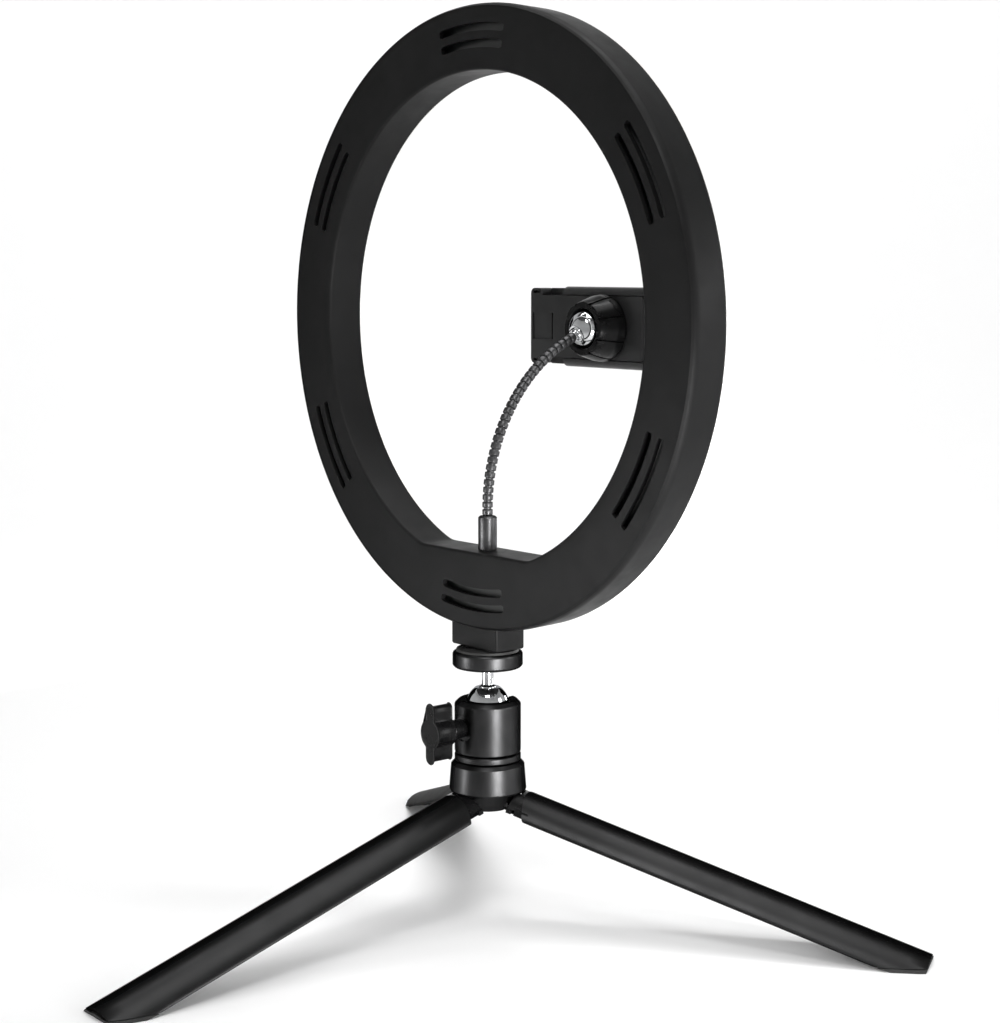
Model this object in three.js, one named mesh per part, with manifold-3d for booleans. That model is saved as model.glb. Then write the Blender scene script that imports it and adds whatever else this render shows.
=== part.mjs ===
// A 10 inch ring light on a folding desk tripod, with a ball head and a phone holder on a gooseneck.
// Units are millimetres, +Z is up, and the origin is on the floor under the middle of the outline.
// The LED side faces -Y. Heights inside a sub-assembly are worked out from RING_Z, the ring's centre.
import * as THREE from "three";
import { mergeVertices } from "three/addons/utils/BufferGeometryUtils.js";
import Module from "manifold-3d";

const wasm = await Module();
wasm.setup();

const rad = THREE.MathUtils.degToRad;

// ---------------------------------------------------------------- driving dimensions
const AXIS_Y = -43.5; // the tripod's axis, behind the middle of the outline
const RING_Z = 256.5; // height of the ring's centre
const GAP = 0.3; // clearance between pieces that touch on the real object

// ring
const RING_R = 130;
const RING_HOLE_R = 103;
const RING_DEPTH = 17.3;
const RING_BACK = RING_DEPTH / 2;
const RING_FRONT = -RING_DEPTH / 2;
const RING_WALL = 2.2;
const RING_TAPER = 0.6;
const RING_EDGE = 1;
const HOLE_CHORD = 96.8; // depth of the flat at the bottom of the ring's hole
const RING_SEGMENTS = 60; // facets round the ring
const ARC_STEPS = RING_SEGMENTS / 2; // a full arc is drawn with twice this many facets
const DIFFUSER_PLATE = 1.7;
const DIFFUSER_EDGE = 0.6;
const SKIRT = 1.4;
const SKIRT_DEPTH = 3;
const VENT_BANDS = [[112, 115.4], [118.7, 122]];
const VENT_HALF_ANGLE = 10;
const VENT_GROUPS = 6;
const BOARD_BACK = 4.1;
const BOARD_THICK = 1.6;
const BOARD_OUTER_R = 126.4;
const BOARD_INNER_R = 106.8;
const BOARD_CHORD = 105;
const LED_COUNT = 36;
const LED_R = 116.5;
const BOSS_R = 2.6;
const BOSS_CIRCLE_R = 109.8;
const BOSS_ANGLES = [60, 180, 300];
const GLAND_ANGLE = -77; // the cable outlet, round the ring's rim
const GLAND_R = 2.6;
const GLAND_Y = -1.9;

// block under the ring that takes the tripod screw
const BLOCK_WIDTH = 30.2;
const BLOCK_DEPTH = 16;
const BLOCK_CHAMFER = 1.2;
const BLOCK_BOTTOM = RING_Z - 138.2;
const INSERT_R = 4.6;
const INSERT_LENGTH = 8;

// ball head
const BALL_Z = RING_Z - 163.6;
const BALL_R = 9.2;
const BALL_FLAT_R = 5.2;
const STEM_R = 2.5;
const STUD_R = 3.1;
const PLATFORM_R = 15.1;
const PLATFORM_BOTTOM = RING_Z - 147;
const PLATFORM_TOP = RING_Z - 140;
const PAD_THICK = 0.9;
const CUP_R = 14.3;
const CUP_BOTTOM = RING_Z - 184;
const CUP_TOP = RING_Z - 161;
const CUP_BORE_R = 9.5;
const CUP_LIP_R = 8.9;
const CUP_WEB = 3.5;
const NOTCH_HALF = 3.3;
const PAN_TOP = RING_Z - 184.5;
const PAN_BOTTOM = RING_Z - 187.5;
const SPIGOT_R = 7;
const SPIGOT_TOP = CUP_BOTTOM + CUP_WEB + 3;
const CLIP_R = 8.8;
const KNOB_Z = RING_Z - 172.2;
const KNOB_END = 31.5;
const KNOB_BOSS_R = 5.4;
const KNOB_WING_HALF = 12;
const KNOB_WING_THICK = 3.6;
const KNOB_WING_DEPTH = 10.3;
const SHOE_R = 3.2;
const LOCK_SCREW_R = 2;

// tripod hub and legs
const HUB_TOP = RING_Z - 187.8;
const HUB_RIM = RING_Z - 201;
const HUB_BOTTOM = RING_Z - 208.6;
const HUB_TOP_R = 15.85;
const HUB_RIM_R = 16.7;
const CONE_TOP_R = 15;
const CONE_BOTTOM_R = 10;
const HINGE_R = 10.2;
const HINGE_Z = RING_Z - 205.3;
const TONGUE_HALF = 3.6;
const TONGUE_R = 3.4;
const SLOT_HALF = 4;
const PIN_R = 1.25;
const PIN_HALF = 6;
const LEG_ANGLES = [90, 210, 330];
const LEG_SLOPE = 16.65; // degrees below level when open
const LEG_TUBE_R = 16.7; // the three legs fold into a tube of this radius
const LEG_WALL = 1.8;
const LEG_HALF_ANGLE = 58;
const LEG_ROOT = 5.4;
const LEG_HEEL = 168.7;
const LEG_TIP = 186.7;
const INSERT_END = 22;
const HEEL_RAMP = rad(14); // slope of a sole's heel over the floor

// gooseneck and the ball of the phone holder
const FERRULE_R = 4;
const FERRULE_TOP = RING_Z - 82;
const NECK_R = 2.25;
const NECK_BEND_R = 77;
const NECK_STRAIGHT = 3;
const NECK_TURN = 68.3;
const NECK_PIECES = 6;
const NECK_GAP = 0.8;
const TIP_REACH = 9.3; // from the neck's end to the holder ball's centre
const HOLDER_BALL_R = 8.5;
const HOLDER_BALL_FLAT_R = 4.5;

// phone holder
const COLLAR_NEAR = 3.5; // distance from the ball's centre to the collar's open face
const COLLAR_LENGTH = 13.3;
const COLLAR_NEAR_R = 11.35;
const COLLAR_FAR_R = 14.85;
const COLLAR_LOBES = 8;
const COLLET_R = 10.4;
const SOCKET_R = 8.8;
const COLLET_BORE_R = 9.4;
const SEAT_CAP_R = 9.2; // outside of the friction seat that bears on the holder ball
const SEAT_CAP_HALF_ANGLE = 30;
const PHONE_HALF = 35.5;
const PLATE_THICK = 6.8;
const FRONT_PLATE = 1.5;
const WEB_HALF = 14;
const RAIL_INNER = 14.3;
const RAIL_OUTER = 18;
const RAIL_END = 28;
const RAIL_TONGUE = 1.7;
const WEB_END = -23.5;
const ARM_INNER = 37.2;
const FIXED_END = 50;
const FIXED_HALF = 17.2;
const MOVING_END = -42;
const ARM_REACH = 20.4;
const LIP_THICK = 2.8;
const LIP_INNER = 33;

// ---------------------------------------------------------------- geometry helpers
const flipped = (index) => {
  const out = index.slice();
  for (let i = 0; i < out.length; i += 3) {
    [out[i], out[i + 1]] = [out[i + 1], out[i]];
  }
  return out;
};

const withoutSlivers = (index) => {
  const out = [];
  for (let i = 0; i < index.length; i += 3) {
    const [a, b, c] = [index[i], index[i + 1], index[i + 2]];
    if (a !== b && b !== c && a !== c) out.push(a, b, c);
  }
  return out;
};

const signedVolume = (points, index) => {
  const [a, b, c] = [new THREE.Vector3(), new THREE.Vector3(), new THREE.Vector3()];
  let volume = 0;
  for (let i = 0; i < index.length; i += 3) {
    a.fromArray(points, index[i] * 3);
    b.fromArray(points, index[i + 1] * 3);
    c.fromArray(points, index[i + 2] * 3);
    volume += a.dot(b.cross(c)) / 6;
  }
  return volume;
};

// A closed three.js geometry as a solid that can be joined and cut.
const solid = (geometry) => {
  const bare = geometry.clone();
  bare.deleteAttribute("normal");
  bare.deleteAttribute("uv");
  const merged = mergeVertices(bare, 1e-4);
  const points = merged.attributes.position.array;
  let index = withoutSlivers(Array.from(merged.index.array));
  if (signedVolume(points, index) < 0) index = flipped(index);
  const mesh = new wasm.Mesh({
    numProp: 3,
    vertProperties: new Float32Array(points),
    triVerts: new Uint32Array(index),
  });
  return new wasm.Manifold(mesh);
};

const geometryOf = (shape) => {
  const mesh = shape.getMesh();
  const geometry = new THREE.BufferGeometry();
  geometry.setAttribute("position", new THREE.BufferAttribute(new Float32Array(mesh.vertProperties), 3));
  geometry.setIndex(new THREE.BufferAttribute(new Uint32Array(mesh.triVerts), 1));
  return geometry;
};

const join = (first, ...rest) => rest.reduce((sum, piece) => sum.add(piece), first);
const cut = (body, ...tools) => tools.reduce((left, tool) => left.subtract(tool), body);

const moved = (geometry, x, y, z) => geometry.clone().translate(x, y, z);

const box = (x0, x1, y0, y1, z0, z1) =>
  solid(
    moved(
      new THREE.BoxGeometry(x1 - x0, y1 - y0, z1 - z0),
      (x0 + x1) / 2,
      (y0 + y1) / 2,
      (z0 + z1) / 2,
    ),
  );

// Revolved about Z from (radius, height) points; about Y from (radius, y) points.
const turnedZ = (points, segments = 32) => {
  const profile = points.map(([r, z]) => new THREE.Vector2(r, z));
  return solid(new THREE.LatheGeometry(profile, segments).rotateX(Math.PI / 2));
};
const turnedY = (points, segments = 32) => {
  const profile = points.map(([r, y]) => new THREE.Vector2(r, y));
  return solid(new THREE.LatheGeometry(profile, segments));
};

// Round bars along the axes, from one end to the other.
const barZ = (r, z0, z1, x = 0, y = 0, segments = 24) =>
  solid(moved(new THREE.CylinderGeometry(r, r, z1 - z0, segments).rotateX(Math.PI / 2), x, y, (z0 + z1) / 2));
const barY = (r, y0, y1, x = 0, z = 0, segments = 24) =>
  solid(moved(new THREE.CylinderGeometry(r, r, y1 - y0, segments), x, (y0 + y1) / 2, z));
const sphere = (r, x, y, z, segments = 24) =>
  solid(moved(new THREE.SphereGeometry(r, segments, segments / 2), x, y, z));

// A plate with its outline in (x, z), from y1 down to y0.
const plateY = (shape, y0, y1, curveSegments = 12) => {
  const geometry = new THREE.ExtrudeGeometry(shape, { depth: y1 - y0, bevelEnabled: false, curveSegments });
  return solid(geometry.rotateX(Math.PI / 2).translate(0, y1, 0));
};
// A plate with its outline in (x, y), from z0 up to z1.
const plateZ = (shape, z0, z1, curveSegments = 12) => {
  const geometry = new THREE.ExtrudeGeometry(shape, { depth: z1 - z0, bevelEnabled: false, curveSegments });
  return solid(geometry.translate(0, 0, z0));
};
// A bar with its outline in (y, z), from x0 to x1.
const barAlongX = (shape, x0, x1, curveSegments = 12) => {
  const geometry = new THREE.ExtrudeGeometry(shape, { depth: x1 - x0, bevelEnabled: false, curveSegments });
  return solid(geometry.rotateX(Math.PI / 2).rotateZ(Math.PI / 2).translate(x0, 0, 0));
};

const circle = (r) => new THREE.Shape().absarc(0, 0, r, 0, 2 * Math.PI, false);

// The ring's hole, grown by an offset: a circle with a flat at the bottom.
const holeShape = (offset, chord = HOLE_CHORD + offset) => {
  const r = RING_HOLE_R + offset;
  const side = Math.acos(chord / r);
  const shape = new THREE.Shape();
  shape.absarc(0, 0, r, -Math.PI / 2 + side, 1.5 * Math.PI - side, false);
  shape.closePath();
  return shape;
};

const sector = (r0, r1, middle, half) => {
  const shape = new THREE.Shape();
  shape.absarc(0, 0, r1, rad(middle - half), rad(middle + half), false);
  shape.absarc(0, 0, r0, rad(middle + half), rad(middle - half), true);
  shape.closePath();
  return shape;
};

const polygon = (points) => new THREE.Shape(points.map(([x, y]) => new THREE.Vector2(x, y)));

const roundedRect = (x0, x1, y0, y1, r) => {
  const shape = new THREE.Shape();
  shape.absarc(x1 - r, y0 + r, r, -Math.PI / 2, 0, false);
  shape.absarc(x1 - r, y1 - r, r, 0, Math.PI / 2, false);
  shape.absarc(x0 + r, y1 - r, r, Math.PI / 2, Math.PI, false);
  shape.absarc(x0 + r, y0 + r, r, Math.PI, 1.5 * Math.PI, false);
  shape.closePath();
  return shape;
};

// ---------------------------------------------------------------- materials
const material = (color, roughness, metalness = 0) =>
  new THREE.MeshStandardMaterial({ color, roughness, metalness });

const BLACK_PLASTIC = material(0x2b2b2b, 0.5);
const DARK_PLASTIC = material(0x1e1e1f, 0.45);
const HOLDER_PLASTIC = material(0x333335, 0.4);
const BLACK_METAL = material(0x1a1a1b, 0.35, 0.6);
const LEG_METAL = material(0x232324, 0.4, 0.5);
const CHROME = material(0xdcdee0, 0.08, 1);
const GUNMETAL = material(0x3c3c3e, 0.35, 0.9);
const STEEL = material(0x9a9ca0, 0.3, 1);
const BRASS = material(0xb08d4a, 0.35, 1);
const RUBBER = material(0x121212, 0.85);
const DIFFUSER_WHITE = material(0xf4f4f0, 0.5);
const BOARD_WHITE = material(0xe8e8e4, 0.6);
const NYLON = material(0xd8d4c8, 0.5);

const group = new THREE.Group();
const stand = new THREE.Group();
stand.position.set(0, AXIS_Y, 0);
group.add(stand);

const add = (name, shape, look, parent = stand) => {
  const mesh = new THREE.Mesh(geometryOf(shape), look);
  mesh.name = name;
  parent.add(mesh);
  return mesh;
};

// The ring and all it carries are drawn about the ring's centre.
const ring = new THREE.Group();
ring.position.set(0, 0, RING_Z);
stand.add(ring);

// ---------------------------------------------------------------- ring light
const housingOutside = () => {
  const front = RING_R - RING_TAPER;
  const disc = turnedY(
    [
      [0, RING_FRONT],
      [front, RING_FRONT],
      [RING_R, RING_BACK - RING_EDGE],
      [RING_R - 0.3 * RING_EDGE, RING_BACK - 0.3 * RING_EDGE],
      [RING_R - RING_EDGE, RING_BACK],
      [0, RING_BACK],
    ],
    RING_SEGMENTS,
  );
  return cut(join(disc, mountBlock()), plateY(holeShape(0), RING_FRONT - 1, RING_BACK + 1, ARC_STEPS));
};

const mountBlock = () => {
  const half = BLOCK_WIDTH / 2;
  const deep = BLOCK_DEPTH / 2;
  const outline = polygon([
    [-half, deep],
    [-half, -deep + BLOCK_CHAMFER],
    [-half + BLOCK_CHAMFER, -deep],
    [half - BLOCK_CHAMFER, -deep],
    [half, -deep + BLOCK_CHAMFER],
    [half, deep],
  ]);
  return plateZ(outline, BLOCK_BOTTOM - RING_Z, -RING_R + 4);
};

const housingCavity = () => {
  const shape = circle(RING_R - RING_TAPER - RING_WALL);
  shape.holes.push(holeShape(RING_WALL));
  return plateY(shape, RING_FRONT - 1, RING_BACK - RING_WALL, ARC_STEPS);
};

const vents = () => {
  const slots = [];
  for (let i = 0; i < VENT_GROUPS; i += 1) {
    for (const [r0, r1] of VENT_BANDS) {
      const shape = sector(r0, r1, 30 + (i * 360) / VENT_GROUPS, VENT_HALF_ANGLE);
      slots.push(plateY(shape, RING_BACK - RING_WALL - 1, RING_BACK + 1, 4));
    }
  }
  return slots;
};

const onCircle = (r, degrees) => [r * Math.cos(rad(degrees)), r * Math.sin(rad(degrees))];

const ringHousing = () => {
  const bosses = BOSS_ANGLES.map((angle) => {
    const [x, z] = onCircle(BOSS_CIRCLE_R, angle);
    return barY(BOSS_R, BOARD_BACK + GAP, RING_BACK - 1, x, z, 12);
  });
  const bossHoles = BOSS_ANGLES.map((angle) => {
    const [x, z] = onCircle(BOSS_CIRCLE_R, angle);
    return barY(1.3, BOARD_BACK, RING_BACK - 1.4, x, z, 10);
  });
  const neckBore = barZ(3.3, -HOLE_CHORD - RING_WALL - 1, -HOLE_CHORD + 1);
  const insertPocket = barZ(INSERT_R + GAP, BLOCK_BOTTOM - RING_Z - 1, BLOCK_BOTTOM - RING_Z + INSERT_LENGTH + GAP);
  const [gx, gz] = onCircle(RING_R, GLAND_ANGLE);
  const glandBore = turnedAlong(GLAND_R + GAP, -8, 4, gx, gz, GLAND_ANGLE);
  return cut(
    join(cut(housingOutside(), housingCavity()), ...bosses),
    ...vents(),
    ...bossHoles,
    neckBore,
    insertPocket,
    glandBore,
  );
};

// A round bar along a ring radius through (x, z), between two distances from that point.
const turnedAlong = (r, d0, d1, x, z, degrees, segments = 16) => {
  const bar = new THREE.CylinderGeometry(r, r, d1 - d0, segments);
  bar.translate(0, (d0 + d1) / 2, 0).rotateX(Math.PI / 2).rotateY(rad(90 - degrees));
  return solid(bar.translate(x, GLAND_Y, z));
};

const cableGland = () => {
  const [x, z] = onCircle(RING_R, GLAND_ANGLE);
  const neck = turnedAlong(GLAND_R, -4.6, 0.9, x, z, GLAND_ANGLE);
  const flange = turnedAlong(GLAND_R + 0.9, -4.6, -3.1, x, z, GLAND_ANGLE);
  const bore = turnedAlong(1.6, -6, 2, x, z, GLAND_ANGLE, 12);
  return cut(join(neck, flange), bore);
};

const diffuser = () => {
  const back = RING_FRONT - GAP;
  const shape = circle(RING_R - RING_TAPER - DIFFUSER_EDGE);
  shape.holes.push(holeShape(DIFFUSER_EDGE + 0.4));
  const plate = new THREE.ExtrudeGeometry(shape, {
    depth: DIFFUSER_PLATE - DIFFUSER_EDGE,
    bevelEnabled: true,
    bevelThickness: DIFFUSER_EDGE,
    bevelSize: DIFFUSER_EDGE,
    bevelSegments: 1,
    curveSegments: ARC_STEPS,
  });
  plate.rotateX(Math.PI / 2).translate(0, back, 0);
  const trimmed = cut(solid(plate), plateY(circle(RING_R + 2), back, back + 2, 8));
  return join(trimmed, outerSkirt(back), innerSkirt(back));
};

const outerSkirt = (back) => {
  const r = RING_R - RING_TAPER - RING_WALL - GAP;
  const shape = circle(r);
  shape.holes.push(circle(r - SKIRT));
  return plateY(shape, back - 0.4, back + SKIRT_DEPTH, ARC_STEPS);
};

const innerSkirt = (back) => {
  const shape = holeShape(RING_WALL + GAP + SKIRT);
  shape.holes.push(holeShape(RING_WALL + GAP));
  return plateY(shape, back - 0.4, back + SKIRT_DEPTH, ARC_STEPS);
};

const ledBoard = () => {
  const shape = circle(BOARD_OUTER_R);
  shape.holes.push(holeShape(BOARD_INNER_R - RING_HOLE_R, BOARD_CHORD));
  const front = BOARD_BACK - BOARD_THICK;
  const board = plateY(shape, front, BOARD_BACK, ARC_STEPS);
  const chips = [];
  for (let i = 0; i < LED_COUNT; i += 1) {
    const chip = new THREE.BoxGeometry(2.8, 1.4, 3.5).translate(0, front - 0.4, LED_R);
    chips.push(solid(chip.rotateY(rad((i * 360) / LED_COUNT))));
  }
  const holes = BOSS_ANGLES.map((angle) => {
    const [x, z] = onCircle(BOSS_CIRCLE_R, angle);
    return barY(1.3, front - 1, BOARD_BACK + 1, x, z, 10);
  });
  return cut(join(board, ...chips), ...holes);
};

const boardScrew = (angle) => {
  const [x, z] = onCircle(BOSS_CIRCLE_R, angle);
  const front = BOARD_BACK - BOARD_THICK;
  const head = barY(2, front - GAP - 1.2, front - GAP, x, z, 12);
  return join(head, barY(1, front - GAP - 0.2, RING_BACK - 1.8, x, z, 10));
};

const mountInsert = () => {
  const z0 = BLOCK_BOTTOM - RING_Z;
  const body = barZ(INSERT_R, z0, z0 + INSERT_LENGTH);
  return cut(body, barZ(STUD_R + GAP, z0 - 1, z0 + INSERT_LENGTH - 1.2));
};

const gooseneckFerrule = () => {
  const seat = -HOLE_CHORD + GAP;
  const sleeve = turnedZ([
    [0, seat],
    [FERRULE_R, seat],
    [FERRULE_R, FERRULE_TOP - RING_Z - 0.6],
    [FERRULE_R - 0.6, FERRULE_TOP - RING_Z],
    [0, FERRULE_TOP - RING_Z],
  ], 20);
  return join(sleeve, barZ(3, -HOLE_CHORD - 7, seat + 1, 0, 0, 20));
};

const gooseneckNut = () => {
  const top = -HOLE_CHORD - RING_WALL - GAP;
  const hex = barZ(5.5, top - 3, top, 0, 0, 6);
  return cut(hex, barZ(3.3, top - 4, top + 1, 0, 0, 20));
};

const addRing = () => {
  add("ring_housing", ringHousing(), BLACK_PLASTIC, ring);
  add("diffuser", diffuser(), DIFFUSER_WHITE, ring);
  add("led_board", ledBoard(), BOARD_WHITE, ring);
  BOSS_ANGLES.forEach((angle, i) => add(`board_screw_${i + 1}`, boardScrew(angle), STEEL, ring));
  add("mount_insert", mountInsert(), BRASS, ring);
  add("cable_gland", cableGland(), RUBBER, ring);
  add("gooseneck_ferrule", gooseneckFerrule(), GUNMETAL, ring);
  add("gooseneck_nut", gooseneckNut(), STEEL, ring);
};

// ---------------------------------------------------------------- gooseneck
// The centre line, drawn about the ring's centre: a short straight, then an arc towards -Y.
const NECK_LENGTH = NECK_STRAIGHT + NECK_BEND_R * rad(NECK_TURN);
const neckTurn = (s) => Math.max(0, s - NECK_STRAIGHT) / NECK_BEND_R;
const neckPoint = (s) => {
  const base = FERRULE_TOP - RING_Z;
  if (s <= NECK_STRAIGHT) return new THREE.Vector3(0, 0, base + s);
  const turn = neckTurn(s);
  return new THREE.Vector3(
    0,
    -NECK_BEND_R * (1 - Math.cos(turn)),
    base + NECK_STRAIGHT + NECK_BEND_R * Math.sin(turn),
  );
};
const neckDirection = (s) => new THREE.Vector3(0, -Math.sin(neckTurn(s)), Math.cos(neckTurn(s)));

const NECK_END = neckPoint(NECK_LENGTH);
const NECK_END_DIRECTION = neckDirection(NECK_LENGTH);
const HOLDER_BALL = NECK_END.clone().addScaledVector(NECK_END_DIRECTION, TIP_REACH);

class NeckCurve extends THREE.Curve {
  constructor(from, to) {
    super();
    this.from = from;
    this.to = to;
  }
  getPoint(t) {
    return neckPoint(this.from + (this.to - this.from) * t);
  }
}

const neckPiece = (i) => {
  const pitch = NECK_LENGTH / NECK_PIECES;
  const from = i * pitch + (i === 0 ? NECK_GAP : NECK_GAP / 2);
  const to = (i + 1) * pitch - (i === NECK_PIECES - 1 ? GAP / 2 : NECK_GAP / 2);
  const geometry = new THREE.ExtrudeGeometry(circle(NECK_R), {
    extrudePath: new NeckCurve(from, to),
    steps: 4,
    bevelEnabled: false,
    curveSegments: 6,
  });
  return solid(geometry);
};

// Drawn along +Z from the neck's end, then turned into line with it.
const alongNeckEnd = (shape) => {
  const geometry = geometryOf(shape).rotateX(neckTurn(NECK_LENGTH));
  return solid(geometry.translate(NECK_END.x, NECK_END.y, NECK_END.z));
};

const holderBall = () => {
  const flat = TIP_REACH - Math.sqrt(HOLDER_BALL_R ** 2 - HOLDER_BALL_FLAT_R ** 2);
  const ball = cut(
    sphere(HOLDER_BALL_R, 0, 0, TIP_REACH, 20),
    box(-10, 10, -10, 10, -10, flat),
  );
  return alongNeckEnd(join(ball, barZ(2, GAP / 2, flat + 1, 0, 0, 16)));
};

const addNeck = () => {
  for (let i = 0; i < NECK_PIECES; i += 1) add(`gooseneck_${i + 1}`, neckPiece(i), GUNMETAL, ring);
  add("holder_ball", holderBall(), CHROME, ring);
};

// ---------------------------------------------------------------- phone holder
// Drawn about the holder ball's centre, with the phone on the -Y side.
const holder = new THREE.Group();
holder.position.copy(HOLDER_BALL);
ring.add(holder);

const COLLAR_FAR = COLLAR_NEAR - COLLAR_LENGTH;
const PLATE_BACK = COLLAR_FAR - GAP;
const PLATE_FRONT = PLATE_BACK - PLATE_THICK;
const ARM_END = PLATE_BACK - ARM_REACH;

// A shallow cap round the ball's centre, so that the holder can turn about it in any direction.
const ballPad = () => {
  const inside = HOLDER_BALL_R + 0.2;
  const points = [];
  for (let a = 0; a <= SEAT_CAP_HALF_ANGLE; a += 10) {
    points.push([SEAT_CAP_R * Math.sin(rad(a)), -SEAT_CAP_R * Math.cos(rad(a))]);
  }
  for (let a = SEAT_CAP_HALF_ANGLE; a >= 0; a -= 10) {
    points.push([inside * Math.sin(rad(a)), -inside * Math.cos(rad(a))]);
  }
  return turnedY(points, 20);
};

const collarNut = () => {
  const barrel = turnedY(
    [
      [0, COLLAR_FAR],
      [COLLAR_FAR_R, COLLAR_FAR],
      [COLLAR_FAR_R - 0.3, COLLAR_FAR + 4],
      [COLLAR_NEAR_R + 1.4, COLLAR_NEAR - 3],
      [COLLAR_NEAR_R, COLLAR_NEAR],
      [0, COLLAR_NEAR],
    ],
    32,
  );
  const grooves = [];
  for (let i = 0; i < COLLAR_LOBES; i += 1) {
    const angle = ((i + 0.5) * 360) / COLLAR_LOBES;
    const bar = geometryOf(box(-0.5, 0.5, COLLAR_FAR - 1, COLLAR_NEAR + 1, 13.4, 20)).rotateY(rad(angle));
    grooves.push(solid(bar));
  }
  return cut(
    barrel,
    barY(COLLET_R + GAP, COLLAR_FAR - 1, -1, 0, 0, 32),
    sphere(SOCKET_R, 0, 0, 0),
    ...grooves,
  );
};

const RAIL_TONGUE_FRONT = PLATE_BACK - 3.3;
const RAIL_TONGUE_BACK = PLATE_BACK - 2.1;

const holderBody = () => {
  const frontBack = PLATE_FRONT + FRONT_PLATE;
  const web = box(WEB_END, FIXED_END - 8, PLATE_FRONT, PLATE_BACK, -WEB_HALF, WEB_HALF);
  const frontPlate = box(WEB_END, FIXED_END - 8, PLATE_FRONT, frontBack, -FIXED_HALF, FIXED_HALF);
  const endBlock = plateY(
    roundedRect(FIXED_END - 8, FIXED_END, -FIXED_HALF, FIXED_HALF, 2.5),
    PLATE_FRONT,
    PLATE_BACK,
    3,
  );
  const arm = box(ARM_INNER, FIXED_END - 6, ARM_END, PLATE_FRONT + 1, -15, 15);
  const lip = box(LIP_INNER, FIXED_END - 6, ARM_END, ARM_END + LIP_THICK, -15, 15);
  const filler = box(FIXED_END - 9, FIXED_END - 5, PLATE_FRONT, PLATE_BACK, -WEB_HALF, WEB_HALF);
  const groove = (side) => {
    const [z0, z1] = side > 0 ? [WEB_HALF - 2, WEB_HALF + 1] : [-WEB_HALF - 1, -WEB_HALF + 2];
    return box(WEB_END - 1, FIXED_END - 8, RAIL_TONGUE_FRONT - GAP, RAIL_TONGUE_BACK + GAP, z0, z1);
  };
  const recess = box(36, FIXED_END + 1, PLATE_BACK - 0.7, PLATE_BACK + 1, -6, 6);
  const spring = box(WEB_END - 1, 30, PLATE_FRONT + 2.4, PLATE_FRONT + 5, -1.6, 1.6);
  const collet = barY(COLLET_R, PLATE_BACK - 1, -1.7, 0, 0, 32);
  const bore = barY(COLLET_BORE_R, PLATE_BACK, 0, 0, 0, 32);
  const plates = join(web, frontPlate, endBlock, filler, arm, lip, collet);
  return cut(plates, bore, groove(1), groove(-1), recess, spring);
};

const movingJaw = () => {
  const back = PLATE_BACK - 0.2;
  const front = PLATE_FRONT + FRONT_PLATE + GAP;
  const rail = (side) => {
    const outline = polygon([
      [front, side * RAIL_INNER],
      [front, side * RAIL_OUTER],
      [back - 3, side * RAIL_OUTER],
      [back - 0.9, side * (RAIL_OUTER - 0.9)],
      [back, side * (RAIL_OUTER - 3)],
      [back, side * RAIL_INNER],
    ]);
    const tongue = box(
      -38,
      RAIL_END,
      RAIL_TONGUE_FRONT,
      RAIL_TONGUE_BACK,
      side > 0 ? RAIL_INNER - RAIL_TONGUE : -RAIL_INNER - 0.5,
      side > 0 ? RAIL_INNER + 0.5 : -RAIL_INNER + RAIL_TONGUE,
    );
    return join(barAlongX(outline, -38, RAIL_END), tongue);
  };
  const endPlate = box(MOVING_END, -ARM_INNER, front, back, -RAIL_OUTER, RAIL_OUTER);
  const arm = box(MOVING_END, -ARM_INNER, ARM_END, front + 1, -15, 15);
  const lip = box(MOVING_END, -LIP_INNER, ARM_END, ARM_END + LIP_THICK, -15, 15);
  return join(rail(1), rail(-1), endPlate, arm, lip);
};

const jawPad = (side) => {
  const [x0, x1] = side > 0 ? [PHONE_HALF, ARM_INNER - GAP] : [-ARM_INNER + GAP, -PHONE_HALF];
  const y0 = ARM_END + LIP_THICK + GAP;
  const y1 = PLATE_FRONT - 0.6;
  return plateY(roundedRect(x0, x1, -13, 13, 0.4), y0, y1, 2);
};

const jawSpring = () => {
  const points = [[0, WEB_END + 0.5]];
  for (let x = WEB_END + 0.5; x < 27; x += 4.8) points.push([0.85, x], [1.25, x + 2.4]);
  points.push([0.85, 28], [0, 28]);
  const profile = points.map(([r, x]) => new THREE.Vector2(r, x));
  const spring = new THREE.LatheGeometry(profile, 8).rotateZ(-Math.PI / 2);
  return solid(spring.translate(0, PLATE_FRONT + 3.7, 0));
};

const addHolder = () => {
  add("ball_pad", ballPad(), NYLON, holder);
  add("collar_nut", collarNut(), DARK_PLASTIC, holder);
  add("holder_body", holderBody(), HOLDER_PLASTIC, holder);
  add("fixed_jaw_pad", jawPad(1), RUBBER, holder);
  add("jaw_spring", jawSpring(), STEEL, holder);
  add("moving_jaw", movingJaw(), HOLDER_PLASTIC, holder);
  add("moving_jaw_pad", jawPad(-1), RUBBER, holder);
};

// ---------------------------------------------------------------- ball head
const ballStem = () => {
  const flat = BALL_Z + Math.sqrt(BALL_R ** 2 - BALL_FLAT_R ** 2);
  const stem = barZ(STEM_R, flat + GAP, PLATFORM_BOTTOM + 2, 0, 0, 20);
  const stud = barZ(STUD_R, PLATFORM_BOTTOM + 1.5, BLOCK_BOTTOM + 6, 0, 0, 20);
  return join(stem, stud);
};

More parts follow.
